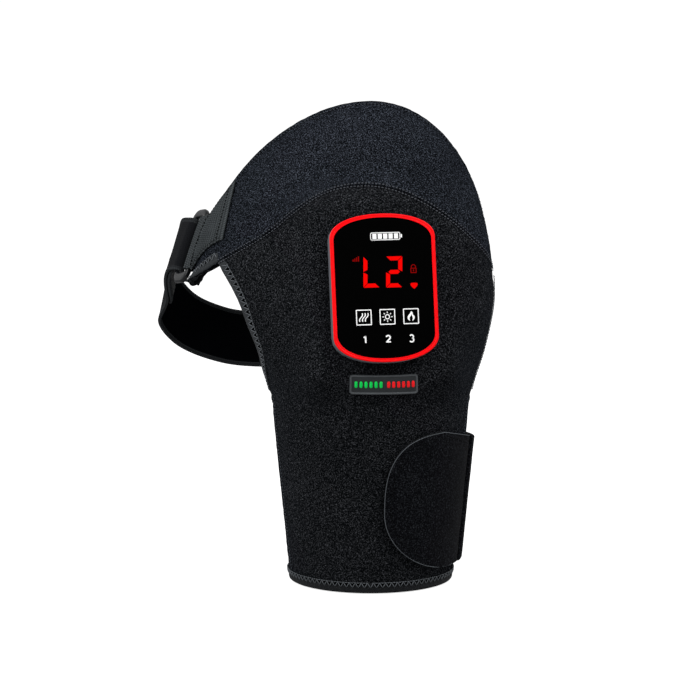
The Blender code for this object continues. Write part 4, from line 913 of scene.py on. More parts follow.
def padded_wall(name, across, up, back, rolls, rows_at, shades, slot, nodes, pull=None):
    """Padded wall of the shell: the outer face swells between its edges, rolls down to them by each edge's
    radius, dips under each stitched row, and carries the pile's own unevenness; the lining follows inside.
    Edges and rows are given for left, right, foot and top; faces near a rolled rim take the third shade,
    painted shade that darkens the rim."""
    face = at_depth(across, up, 0, back)
    normal = surface_normal(shell, across, up, back) + np.zeros_like(face)
    if pull:
        face = face + pull(across, up)
    distances = edge_distances(face)
    roll = np.max([rolled(far, radius) for far, radius in zip(distances, rolls)], axis=0)
    nearest = np.min(distances, axis=0)
    fade = 1 - np.exp(-nearest / SOFT_FADE)
    swell = SOFT_RISE * fade * cloudy(face, SOFT_CLOUD)
    swell = swell + pressed(face, normal, fastened_at(face) & (not back))
    dip = np.zeros_like(swell)
    for far, place in zip(distances, rows_at):
        if place:
            swell = swell * (1 - np.exp(-((far - place) / ROW_CHANNEL) ** 2))
            dip = dip + ROW_DIP * np.exp(-((far - place) / DIP_WIDTH) ** 2)
    pile = PILE_RISE * (cloudy(face, PILE_CLOUDS[0]) + 0.6 * cloudy(face, PILE_CLOUDS[1]))
    outer = face + (swell + pile - roll - dip)[..., None] * normal
    inner = face - (WALL - roll * (np.array(rolls).max() > SEAM_ROLL) - 0.5 * swell)[..., None] * normal
    points, faces, marks = closed_sheet(outer, inner)
    # Faces within a band of the rolled rims take the darker third shade: painted shade along the rim.
    rim = np.min([np.where(radius > SEAM_ROLL, far, 1.0) for far, radius in zip(distances, rolls)], axis=0)
    band = ((rim[1:, 1:] + rim[:-1, :-1]) / 2 < EDGE_SHADE_BAND).ravel()
    band = np.pad(band, (0, len(marks) - len(band)), constant_values=max(rolls) > SEAM_ROLL)
    item = piece(name, "brace", shades, points, faces, marks=np.where(marks == 1, 1, 2 * band), slot=slot)
    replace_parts(item, *nodes)
    outward(item)
    return item


def between_tapes(part, up):
    """Share along the arch of a part of the way from the left tape to the right one, at a share up."""
    near = armpit_edge(up)
    taken = (BINDING_WIDTH - TAPE_OVER) * eased(CLOSED_UP - up_share(0.0, CLOSED_UP, 0.002), CLOSED_UP, up)
    near = near + along_share(near, up, 1.0) * taken
    far = 1 - along_share(1.0, up, 1.0) * taken
    return near + (far - near) * part


def front_places(columns, rows):
    """Shares of the front panel's grid: clear of hem and tapes, up to the seam, met in a few rounds."""
    part, rise = crowded(columns), crowded(rows)[:, None]
    places = part
    for _ in range(SEAM_ROUNDS):
        edge = seam_up(places)
        places = between_tapes(part, edge)
    foot = up_share(0.5, 0.0, HEM_BAND - HEM_OVER)
    up = foot + (edge - foot) * rise
    return between_tapes(part, up), up


def wing_pull(across, up):
    """How far the tab pulls the wing towards the buckle: most at its lower corner, none by the tip."""
    rise = (up - seam_up(across)) / (1 - seam_up(across))
    near = np.clip(1 - across / ARMPIT_EDGE_SHARES[-1], 0, 1) ** 2 * np.clip(1 - 2 * rise, 0, 1)
    return near[..., None] * np.array(WING_PULL)


def cap_places(columns, rows):
    """Shares of the cap's grid: from the wing's edge and the seam up to the rim."""
    across = crowded(columns)
    foot = seam_up(across)
    rise = crowded(rows)[:, None]
    return across + 0 * rise, foot + (1 - foot) * rise


def rear_places(columns, rows):
    """Shares of the rear panel's grid, from the right side seam round the back to the left one."""
    across = 1 - crowded(columns)
    foot = up_share(0.5, 0.0, HEM_BAND - HEM_OVER, True)
    top = rear_top(across) - up_share(across, rear_top(across), BINDING_WIDTH - TAPE_OVER, True)
    return across + np.zeros((rows + 1, 1)), foot + (top - foot) * crowded(rows)[:, None]


def make_walls(pile, cap_pile, edge_shade_pile, lining):
    """Front panel, shoulder cap and rear panel."""
    across, up = front_places(*FRONT_CELLS)
    padded_wall("front_wall", across, up, False, (SEAM_ROLL, SEAM_ROLL, 0, SEAM_ROLL),
                (SIDE_ROW, SIDE_ROW, 0, SEAM_ROW),
                (pile, lining), "plush", ("front_panel", "front_lining"))
    across, up = cap_places(*CAP_CELLS)
    padded_wall("cap_wall", across, up, False, (EDGE_ROLL, EDGE_ROLL, SEAM_ROLL, EDGE_ROLL),
                (0, 0, SEAM_ROW, RIM_ROW), (cap_pile, lining, edge_shade_pile), "plush",
                ("shoulder_cap", "cap_lining"), wing_pull)
    across, up = rear_places(*REAR_CELLS)
    padded_wall("rear_wall", across, up, True, (SEAM_ROLL, SEAM_ROLL, 0, 0), (0, 0, 0, 0),
                (pile, lining), "plush", ("rear_panel", "rear_lining"))


# Overlocked tapes and seams

def boxy_loop(steps, power=0.4):
    """Closed loop of a boxy ellipse between -1 and 1: cosine and sine drawn to a power, their signs kept."""
    turn = np.linspace(0, 2 * math.pi, steps, endpoint=False)
    cosine, sine = np.cos(turn), np.sin(turn)
    return np.sign(cosine) * np.abs(cosine) ** power, np.sign(sine) * np.abs(sine) ** power


def ring_faces(rows, columns):
    """Faces of a closed tube of rings, with its two ends closed by flat caps."""
    loop = np.arange(columns)
    return [quads_of(rows, columns, around=True), loop[None, ::-1], loop[None] + (rows - 1) * columns]


TAPE_PROUD = 0.0007
TAPE_EASE = 0.0100
TAPE_SHOWN = BINDING_WIDTH * 1.3
ZIGZAG_PITCH = 0.0040
ZIGZAG_WIDE = 0.00062
HOLE_SHARE = 0.74
HOLE_PROUD = 0.00022
KNIT_RISE = 0.0001
OVERLOCK_SHARES = (0.40, 0.96)
HEM_LINES = (0.0042, 0.0074)


def overlock(name, edge, inner, normals, shades, slot):
    """Overlock on a tape: a zigzag thread between an edge line and an inner line, a chain along the inner,
    and in each bay a dark three-cornered patch that points at the edge, painted shade of the opening there."""
    chain = stitch_row(inner, normals, ZIGZAG_PITCH / 2, ZIGZAG_PITCH * 0.46, ZIGZAG_WIDE * 0.9,
                       ZIGZAG_WIDE)
    threads = gather([zigzag(edge, inner, normals, ZIGZAG_PITCH, ZIGZAG_WIDE, ZIGZAG_WIDE), chain])
    piece(name + "_thread", "brace", shades[0], *threads, slot=slot)
    # Dark triangles in the bays: painted shade of the openings between the threads.
    walked = run_of(edge[None], 1)[0]
    places = np.arange(ZIGZAG_PITCH, walked[-1] - ZIGZAG_PITCH, ZIGZAG_PITCH)
    corners = np.stack([at_walked(places + shift, walked, line) for line, shift in
                        ((edge, 0), (inner, -ZIGZAG_PITCH / 2), (inner, ZIGZAG_PITCH / 2))], axis=1)
    middle = corners.mean(1, keepdims=True)
    out = unit(at_walked(places, walked, normals))[:, None]
    corners = middle + (corners - middle) * HOLE_SHARE + HOLE_PROUD * out
    faces = np.arange(len(places) * 3).reshape(-1, 3)
    piece(name + "_hole_shade", "brace", shades[1], corners, faces.tolist(), slot=slot)


def armpit_tape(name, across_of, up, back, shades, node_name=None, pull=None):
    """Tape folded over the wall's free edge: a boxy section carried up the edge, half a tape's width round
    the middle of the wall, then overlocked near its inner line."""
    wide, deep = boxy_loop(28)
    reach = TAPE_SHOWN / 2 * (1 + wide)
    depth = WALL / 2 - (WALL / 2 + TAPE_PROUD) * deep
    given = np.asarray(up)[:, None]
    across, up = across_of(given, reach)
    walked = run_of(at_depth(*across_of(given, np.array((0.0,))), 0.0, back), 0)
    risen = eased(0.0, TAPE_EASE, np.minimum(walked, walked[-1:] - walked)) if node_name else 1.0
    points = at_depth(across, up, depth + TAPE_PROUD * deep * (1 - risen), back)
    if pull:
        points = points + pull(across, up)
    out = unit(points - points.mean(1, keepdims=True))
    points = points + KNIT_RISE * cloudy(points, 0.0018)[..., None] * out
    faces = gather([(points, ring_faces(*points.shape[:2]))])[1]
    item = outward(piece(name, "brace", shades[2], points, faces, slot="binding"))
    if node_name:
        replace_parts(item, node_name)
    lines = []
    for share in OVERLOCK_SHARES:
        part_across, part_up = across_of(given, np.array((TAPE_SHOWN * share,)))
        normal = surface_normal(shell, part_across, part_up, back)[:, 0]
        line = at_depth(part_across, part_up, -TAPE_PROUD, back)
        lines.append((line + pull(part_across, part_up) if pull else line)[:, 0])
    sewn = slice(6, -6) if node_name else slice(None)
    overlock(name, lines[0][sewn], lines[1][sewn], normal[sewn], shades, "binding")


def make_tapes(shades):
    """Armpit tapes on the front panel's two free edges, under the wing, and along the scooped rear edge."""
    low = CLOSED_UP - up_share(0.0, CLOSED_UP, 0.004)
    near_up = np.linspace(float(low), float(seam_up(ARMPIT_EDGE_SHARES[-1])), 110)

    def near(up, reach):
        edge = armpit_edge(up)
        return edge + along_share(edge, up, 1.0) * reach, up + 0 * reach

    def far(up, reach):
        return 1 - along_share(1.0, up, 1.0) * reach, up + 0 * reach

    armpit_tape("front_tape", near, near_up, False, shades, "armpit_binding_front")
    far_up = np.linspace(float(low), float(seam_up(1.0)), 110)
    armpit_tape("side_tape", far, far_up, False, shades, "armpit_binding_side")

    def scoop(across, reach):
        top = rear_top(across)
        return across + 0 * reach, top - up_share(across, top, 1.0, True) * reach

    armpit_tape("rear_tape", scoop, np.linspace(1, 0, 150), True, shades, "armpit_binding_rear")

    def under(across, reach):
        edge = seam_up(across)
        return across + 0 * reach, edge + up_share(across, edge, 1.0) * reach

    armpit_tape("wing_tape", under, np.linspace(0.002, ARMPIT_EDGE_SHARES[-1] + 0.004, 60), False, shades,
                pull=wing_pull)


def make_hem(shades):
    """Hem band: a boxy section folded over the foot of the wall, turned round the sleeve's axis."""
    wide, tall = boxy_loop(32)
    turn = np.linspace(0, 2 * math.pi, 241)[:-1, None]
    slope = (ARMPIT_RADIUS - HEM_RADIUS) / ARMPIT_HEIGHT
    band = HEM_BAND + 0.0004
    height = band / 2 * (1 + tall)
    radius = HEM_RADIUS - WALL / 2 + slope * height + (WALL / 2 + TAPE_PROUD) * wide
    points = np.stack((radius * np.sin(turn), -radius * np.cos(turn), height + 0 * turn), axis=-1)
    points = SLEEVE_AXIS + points
    points = points + KNIT_RISE * cloudy(points, 0.0021)[..., None] * np.array((1, 1, 0.2))
    points[..., 2] = np.maximum(points[..., 2], 0)
    faces = quads_of(len(turn), len(wide), around=True, along=True).tolist()
    item = outward(piece("hem_band", "brace", shades[2], points, faces, slot="binding"))
    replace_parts(item, "hem_binding")
    turn = np.linspace(0, 2 * math.pi, 361)
    out = np.stack((np.sin(turn), -np.cos(turn), 0 * turn), axis=-1)
    lines = [SLEEVE_AXIS + out * (HEM_RADIUS + TAPE_PROUD + slope * height) + (0, 0, height)
             for height in HEM_LINES]
    overlock("hem", lines[0], lines[1], out, shades, "binding")


STITCH_PITCH = 0.0023
STITCH_LONG = 0.0016
STITCH_WIDE = 0.00062
STITCH_HOLE = 0.00050
LOW_STITCH = 0.00025
SEAM_SINK, RIM_SINK = 0.0002, 0.0001
SEAM_GAP_WIDE, SEAM_GAP_TALL = 0.0006, 0.0003
SEAM_STEPS = 400


def stitched_line(name, across, up, proud, shades, height=STITCH_WIDE):
    """Row of running stitches on the shell, with painted shade of a stitch hole between each two."""
    line = at_depth(across, up, -proud)
    normal = surface_normal(shell, across, up)
    threads = [stitch_row(line, normal, STITCH_PITCH, STITCH_LONG, STITCH_WIDE, height)]
    piece(name, "brace", shades[0], *gather(threads), slot="plush")
    walked = run_of(line[None], 1)[0]
    places = np.arange(STITCH_PITCH * 0.35, walked[-1], STITCH_PITCH)
    centres, out = (at_walked(places, walked, some) for some in (line, normal))
    holes = gather([hole_shade_discs(centres, unit(out), STITCH_HOLE)])
    piece(name + "_hole_shade", "brace", shades[1], *holes, slot="plush")


def make_seams(shades, faint_shades):
    """Double row along the cap's seam with a dark thread in the gap between its two cloths, painted shade of
    the gap, one row inside the cap's rim, and the side seams."""
    across = np.linspace(ARMPIT_EDGE_SHARES[-1], 1, SEAM_STEPS)
    seam = seam_up(across)
    # Near-black thread laid in the seam: painted shade of the gap between the two cloths.
    gap = thread(at_depth(across, seam, SEAM_SINK), surface_normal(shell, across, seam), SEAM_GAP_WIDE,
                 SEAM_GAP_TALL, round_ends=False)
    piece("seam_gap_shade", "brace", shades[1], *gather([gap]), slot="plush")
    sewn = across < 1 - along_share(1.0, seam_up(1.0), ROW_END)
    across, seam = across[sewn], seam[sewn]
    for name, side in (("seam_row_lower", -1), ("seam_row_upper", 1)):
        stitched_line(name, across, seam + side * up_share(across, seam, SEAM_ROW), SEAM_SINK, shades)
    inset = float(along_share(0.5, 1.0, RIM_ROW))
    across = np.linspace(inset, 1 - inset, SEAM_STEPS)
    rim = 1 - up_share(across, 1.0, RIM_ROW)
    stitched_line("rim_row", across, rim, RIM_SINK, faint_shades, LOW_STITCH)
    up = np.linspace(float(up_share(0.0, 0.0, HEM_BAND)), CLOSED_UP, 260)
    for name, place in (("side_seam_left", along_share(0.0, up, SIDE_ROW)),
                        ("side_seam_right", 1 - along_share(1.0, up, SIDE_ROW))):
        stitched_line(name, place, up, 0.0, faint_shades)


# Controller face: X to its right, Z up it, depths stand out of the seat

ARCH_STEPS = 72
RING_EDGE = 0.0007
GROOVE_DEEP = 0.00022
GROOVE_WIDE = 0.00030
GROOVE_SECTION = ((-1.2, 0), (-0.7, 0.25), (-0.25, 0.9), (0, 1), (0.25, 0.9), (0.7, 0.25), (1.2, 0))
MARK_PROUD = 0.00006
KEY_FACE = LENS_FRONT + 0.0003
LIP_ROUND = 0.0004


def on_face(x, z, depth):
    """World points of the controller's own directions."""
    x, z, depth = np.broadcast_arrays(np.asarray(x, float), np.asarray(z, float), np.asarray(depth, float))
    local = np.stack((x, -depth, z), axis=-1)
    return SEAT[:3, 3] + local @ SEAT[:3, :3].T


def face_ring(insets, depths, steps):
    """Grid carried round the face outline: one ring for each inset and depth."""
    rings = [on_face(*np.array(face_outline(inset, steps)).T, depth) for inset, depth in zip(insets, depths)]
    return np.array(rings)


def make_frame_ring(shades):
    """Frame round the panel: a closed section with a round outer edge and a groove along the middle of its
    face; red in front, grey like the housing down its side, and black at its inner lip and inner wall,
    painted shade of the recess by the lens."""
    turn = np.linspace(0, math.pi / 2, 6)
    outer = [(RING_EDGE * (1 - math.sin(a)), BEZEL_FRONT - RING_EDGE * (1 - math.cos(a))) for a in turn[::-1]]
    middle = BEZEL_FACE * 0.52
    groove = [(middle + GROOVE_WIDE * step, BEZEL_FRONT - GROOVE_DEEP * dip) for step, dip in GROOVE_SECTION]
    ledge = BEZEL_BACK + LEDGE_DEPTH
    inner = [(BEZEL_FACE - LIP_ROUND, BEZEL_FRONT), (BEZEL_FACE - 0.0001, BEZEL_FRONT - 0.0001),
             (BEZEL_FACE, BEZEL_FRONT - LIP_ROUND), (BEZEL_FACE, ledge), (BEZEL_FACE + 0.0015, ledge),
             (BEZEL_FACE + 0.0015, BEZEL_BACK), (0.0002, BEZEL_BACK), (0.0, BEZEL_BACK + 0.0002)]
    insets, depths = np.array(outer + groove + inner).T
    points = face_ring(insets, depths, ARCH_STEPS)
    rows, columns = points.shape[:2]
    last = len(outer) + len(groove)
    # Inner lip and wall black: painted shade of the recess between the ring and the lens.
    side_of = np.zeros(rows, int)
    side_of[last:] = 2
    side_of[-2:] = 1
    item = piece("frame_ring", "brace", shades, points, quads_of(rows, columns, True, True).tolist(),
                 marks=np.repeat(side_of, columns), slot="red")
    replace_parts(outward(item), "red_bezel")
    sharpen(item, 40)


def mark(name, body, shade, strips, depth=LENS_FRONT, slot=None):
    """Flat printed or lit shapes on the face: each strip is a pair of matching outlines, filled between."""
    parts = []
    for first, second in strips:
        first, second = np.asarray(first, float), np.asarray(second, float)
        grid = np.stack((first, second))
        parts.append((on_face(grid[..., 0], grid[..., 1], depth + MARK_PROUD), [quads_of(2, len(first))]))
    points, faces = gather(parts)
    item = piece(name, body, shade, points, faces, slot=slot)
    made = bmesh.new()
    made.from_mesh(item.data)
    bmesh.ops.remove_doubles(made, verts=made.verts, dist=1e-7)
    turned = [face for face in made.faces if face.normal.dot(Vector(SEAT[:3, 1])) > 0]
    bmesh.ops.reverse_faces(made, faces=turned)
    made.to_mesh(item.data)
    made.free()
    return item


def stroke(line, width):
    """Two outlines half a width to each side of a line."""
    line = np.asarray(line, float)
    heading = unit(np.gradient(line, axis=0))
    aside = np.stack((-heading[:, 1], heading[:, 0]), axis=-1) * width / 2
    return line - aside, line + aside


def arc(x, z, radius, start, stop, steps=24, stretch=1.0):
    """Points of an arc in the face plane, its turns in degrees."""
    turn = np.radians(np.linspace(start, stop, steps))
    return np.stack((x + radius * np.cos(turn), z + radius * stretch * np.sin(turn)), axis=-1)


def bar(x, z, width, height):
    """A filled upright box."""
    return [(x - width / 2, z - height / 2), (x + width / 2, z - height / 2)], \
        [(x - width / 2, z + height / 2), (x + width / 2, z + height / 2)]


def box_line(x, z, width, height, line, corner):
    """Outline of a rounded box as a closed stroke between two boxes."""
    outer = np.array(rounded_box(width, height, corner, x, z))
    inner = np.array(rounded_box(width - 2 * line, height - 2 * line, max(corner - line, 1e-5), x, z))
    return np.vstack((outer, outer[:1])), np.vstack((inner, inner[:1]))


DIGIT_WIDE, DIGIT_TALL, DIGIT_STROKE, DIGIT_GAP, DIGIT_LEAN = 0.0108, 0.0206, 0.0027, 0.00022, 0.040
MODE_BARS = 4
LOCK_PLACE = (0.0199, 0.0110)
HEART_PLACE = (0.0199, 0.0012)
GAUGE_PLACE = (0.0020, 0.0342)
NUMBER_LEVEL = -0.0340


def digit(segments, x, z):
    """Seven-segment figure: mitred bars of a leaning box, left out where the figure doesn't light them."""
    wide, tall, line, gap = DIGIT_WIDE, DIGIT_TALL, DIGIT_STROKE, DIGIT_GAP
    half = tall / 2
    shapes = {
        "top": ([(gap, tall), (wide - gap, tall)],
                [(line + gap, tall - line), (wide - line - gap, tall - line)]),
        "foot": ([(gap, 0), (wide - gap, 0)], [(line + gap, line), (wide - line - gap, line)]),
        "upper_left": ([(0, tall - gap), (0, half + gap)],
                       [(line, tall - line - gap), (line, half + line / 2 + gap)]),
        "lower_left": ([(0, gap), (0, half - gap)], [(line, line + gap), (line, half - line / 2 - gap)]),
        "upper_right": ([(wide, tall - gap), (wide, half + gap)],
                        [(wide - line, tall - line - gap), (wide - line, half + line / 2 + gap)]),
        "middle": tuple([(line / 2 + gap, half), (line + gap, half + side * line / 2),
                         (wide - line - gap, half + side * line / 2), (wide - line / 2 - gap, half)]
                        for side in (1, -1)),
    }
    return [tuple(np.array(edge) @ np.array(((1, 0), (DIGIT_LEAN, 1))) + (x, z) for edge in shapes[name])
            for name in segments]


def make_display(lit, faint):
    """Lit figures and small signs on the panel: level, mode bars, padlock and heart."""
    mark("readout", "brace", lit, digit(("upper_left", "lower_left", "foot"), -0.0139, 0.0004)
         + digit(("top", "upper_right", "middle", "lower_left", "foot"), 0.0012, 0.0001), slot="display")
    bars = [bar(-0.0200 + 0.0012 * step, 0.0186 + 0.00035 * step, 0.0007, 0.0013 + 0.0007 * step)
            for step in range(MODE_BARS)]
    x, z = LOCK_PLACE
    shackle = np.vstack(((x - 0.0014, z + 0.0016), arc(x, z + 0.0024, 0.0014, 180, 0),
                         (x + 0.0014, z + 0.0016)))
    lock = [box_line(x, z, 0.0040, 0.0034, 0.0005, 0.0004), stroke(shackle, 0.0005),
            bar(x, z, 0.0007, 0.0012)]
    mark("small_signs", "brace", faint, bars + lock, slot="display")
    part = np.linspace(0, math.pi, 22)
    half_x = 0.0024 * np.sin(part) ** 1.6
    heart_z = 0.0017 * (1.15 * np.cos(part) - 0.32 * np.cos(2 * part) + 0.1)
    left, right = (np.stack((HEART_PLACE[0] + side * half_x, HEART_PLACE[1] + heart_z), axis=-1)
                   for side in (-1, 1))
    mark("heart_sign", "brace", lit, [(left, right)], slot="display")


def make_prints(white):
    """White prints: a charge gauge above, a framed sign on each key, and a plain number under it."""
    x, z = GAUGE_PLACE
    gauge = [box_line(x, z, 0.0200, 0.0052, 0.0005, 0.0011), bar(x + 0.0107, z, 0.0009, 0.0022)]
    gauge += [bar(x + 0.0036 * step, z, 0.0027, 0.0034) for step in (-2, -1, 0, 1, 2)]
    mark("charge_gauge", "brace", white, gauge, slot="gloss")
    numbers = [stroke([(-0.0006, 0.0012), (0.0006, 0.0022), (0.0006, 0.0021), (0.0006, -0.0022)], 0.0010)]
    two = np.vstack((arc(0, 0.0010, 0.0013, 165, -35, 20), ((0.0002, -0.0006), (-0.0013, -0.0019))))
    numbers.append(stroke(two, 0.0009))
    numbers.append(bar(0.0001, -0.0019, 0.0032, 0.0009))
    numbers.append(stroke(arc(-0.0001, 0.00115, 0.00115, 150, -80, 20), 0.0009))
    numbers.append(stroke(arc(-0.0001, -0.00105, 0.0013, 80, -150, 20), 0.0009))
    owner = (0, 1, 1, 2, 2)
    placed = [tuple(np.asarray(edge) + (KEY_PLACES[key], NUMBER_LEVEL) for edge in shape)
              for shape, key in zip(numbers, owner)]
    mark("key_numbers", "brace", white, placed, slot="gloss")
    for step, (body, signs) in enumerate(zip(("massage_button", "level_button", "heat_button"),
                                             (wave_sign(), sun_sign(), flame_sign()))):
        x, z = KEY_PLACES[step], KEY_LEVEL
        frame_line = [box_line(x, z, KEY_SIZE - 0.0002, KEY_SIZE - 0.0002, 0.00065, 0.0005)]
        signs = [tuple(np.asarray(edge) + (x, z) for edge in shape) for shape in signs]
        mark(body.replace("button", "print"), body, white, frame_line + signs, KEY_FACE, slot="key")


def wave_sign():
    """Three leaning waves side by side."""
    rise = np.linspace(-1, 1, 26)
    sway = 0.00045 * np.sin(math.pi * rise * 1.15) + 0.0011 * rise
    return [stroke(np.stack((shift + sway, 0.0028 * rise), axis=-1), 0.00068)
            for shift in (-0.0019, 0.0, 0.0019)]


def sun_sign():
    """A ring with eight rays."""
    signs = [stroke(arc(0, 0, 0.0014, 0, 360, 33), 0.0006)]
    for turn in np.radians(np.arange(0, 360, 45)):
        ray = np.array((math.cos(turn), math.sin(turn)))
        signs.append(stroke([ray * 0.0024, ray * 0.0034], 0.0006))
    return signs


def flame_sign():
    """A flame: an outline between two matching curves that meet at its tip, open at its heart."""
    left = ((0.2, 3.4), (-0.4, 2.2), (-1.5, 0.9), (-2.3, -0.5), (-2.1, -2.0), (-1.0, -3.1))
    left_in = ((0.4, 3.0), (0.6, 1.6), (-0.2, 0.3), (-0.9, -0.8), (-1.0, -1.9), (-0.7, -2.7))
    right = ((0.2, 3.4), (1.2, 2.4), (1.3, 1.1), (2.3, -0.1), (2.3, -1.6), (1.1, -3.1))
    right_in = ((0.4, 3.0), (0.6, 1.6), (0.6, 0.3), (1.1, -0.8), (1.1, -1.8), (0.7, -2.7))
    coarse, fine = np.linspace(0, 1, 6), np.linspace(0, 1, 26)
    return [tuple(smooth(coarse, np.array(edge) * 0.001, fine) for edge in pair)
            for pair in ((left, left_in), (right, right_in))]


def key_centres():
    """Middle of each key on the face, from the boxes of the keys themselves."""
    places = []
    for name in ("massage_key", "level_key", "heat_key"):
        low, high = (np.array(corner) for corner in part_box(name))
        places.append(((low + high) / 2 - SEAT[:3, 3]) @ SEAT[:3, :3])
    return [place[0] for place in places], places[1][2]


KEY_PLACES, KEY_LEVEL = key_centres()


# Badge

BADGE_LEVEL = 0.022
BADGE_LIFT = 0.0044
BADGE_LIP = (0.0011, 0.0017, 0.00045)
BADGE_BORDER = (0.0005, 0.0016)
BADGE_ROUND = 0.0006
BADGE_SINK = 0.0002
PIP_HALF = (0.00105, 0.0021)
PIP_SECTION = ((1.0, 0.0), (1.0, 0.25), (0.86, 0.42), (0.5, 0.55), (0.02, 0.58))
PIP_SIDES = 24
PIP_RUNS = (("pips_green", -0.0185, -0.0020), ("pips_red", 0.0030, 0.0195))
PIPS_IN_RUN = 6


def make_badge_piece(shade, border_shade, pips):
    """Moulded badge that follows the sleeve: a rounded plate, its raised border, and two runs of pips."""
    across, up = BADGE_PLACE_SHARES
    one_up = up_share(across, up, 1.0)
    up = up + one_up * BADGE_LIFT

    def shares(place, rise):
        level = up + one_up * (rise - BADGE_LEVEL * place)
        return across + along_share(across, level, 1.0) * place, level

    columns, rows = 120, 44
    place = (crowded(columns, 0.6) - 0.5) * BADGE_WIDTH
    past = np.maximum(np.abs(place) - (BADGE_WIDTH / 2 - BADGE_CORNER), 0)
    drop = BADGE_CORNER - np.sqrt(np.maximum(BADGE_CORNER ** 2 - past ** 2, 0))
    half = BADGE_HEIGHT / 2 - drop
    rise = (crowded(rows, 0.6)[:, None] * 2 - 1) * half
    near = np.minimum(BADGE_WIDTH / 2 - np.abs(place), half - np.abs(rise))
    lip = eased(BADGE_LIP[1], BADGE_LIP[0], near)
    round_off = rolled(np.maximum(near, 0), BADGE_ROUND)
    top = LAYER_CLEARANCE + BADGE_THICK - BADGE_SINK
    front = top + BADGE_LIP[2] * lip - round_off
    grid = shares(place + 0 * rise, rise)
    points, faces, marks = closed_sheet(at_depth(*grid, -front), at_depth(*grid, 0.0 * front - 0.0001))
    centre = (near[1:, 1:] + near[:-1, :-1]) / 2
    border = ((centre > BADGE_BORDER[0]) & (centre < BADGE_BORDER[1])).ravel()
    marks = np.where(marks == 0, np.pad(border, (0, len(marks) - len(border))), 0).astype(int)
    item = piece("badge_plate", "brace", (shade, border_shade), points, faces, marks=marks, slot="badge")
    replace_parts(outward(item), "badge")
    around, aloft = boxy_loop(PIP_SIDES, 0.6)
    reach, height = np.array(PIP_SECTION).T[..., None]
    for pip_shade, (name, start, stop) in zip(pips, PIP_RUNS):
        parts = []
        for x in np.linspace(start, stop, PIPS_IN_RUN):
            wide, tall = x + PIP_HALF[0] * reach * around, PIP_HALF[1] * reach * aloft
            ring = at_depth(*shares(wide, tall), -(top + height * 0.001) + 0 * tall)
            parts.append((ring, ring_faces(len(PIP_SECTION), PIP_SIDES)))
        outward(piece(name, "brace", pip_shade, *gather(parts), slot="badge"))


# Closure wrap and D flap

FLAP_ROWS, FLAP_COLUMNS = 110, 90
FLAP_EDGE = 0.0005
FLAP_ROW = 0.0040
FLAP_DIP = (0.00030, 0.0007)
WRAP_ROUND = 0.0016
WRAP_LIFT = 0.0002
HOOK_GRID = (70, 60)
FLAP_STITCH = (0.0021, 0.0016, 0.00040, 0.00040)
FLAP_RIM = (0.0005, 0.0006)
SOFT_BEND = 0.05


def free_rim(grid):
    """Line round the flap's free edges: along the top from the seam, round the D, and back at the bottom."""
    return np.concatenate((grid[0, :0:-1], grid[:, 0], grid[-1, 1:]))


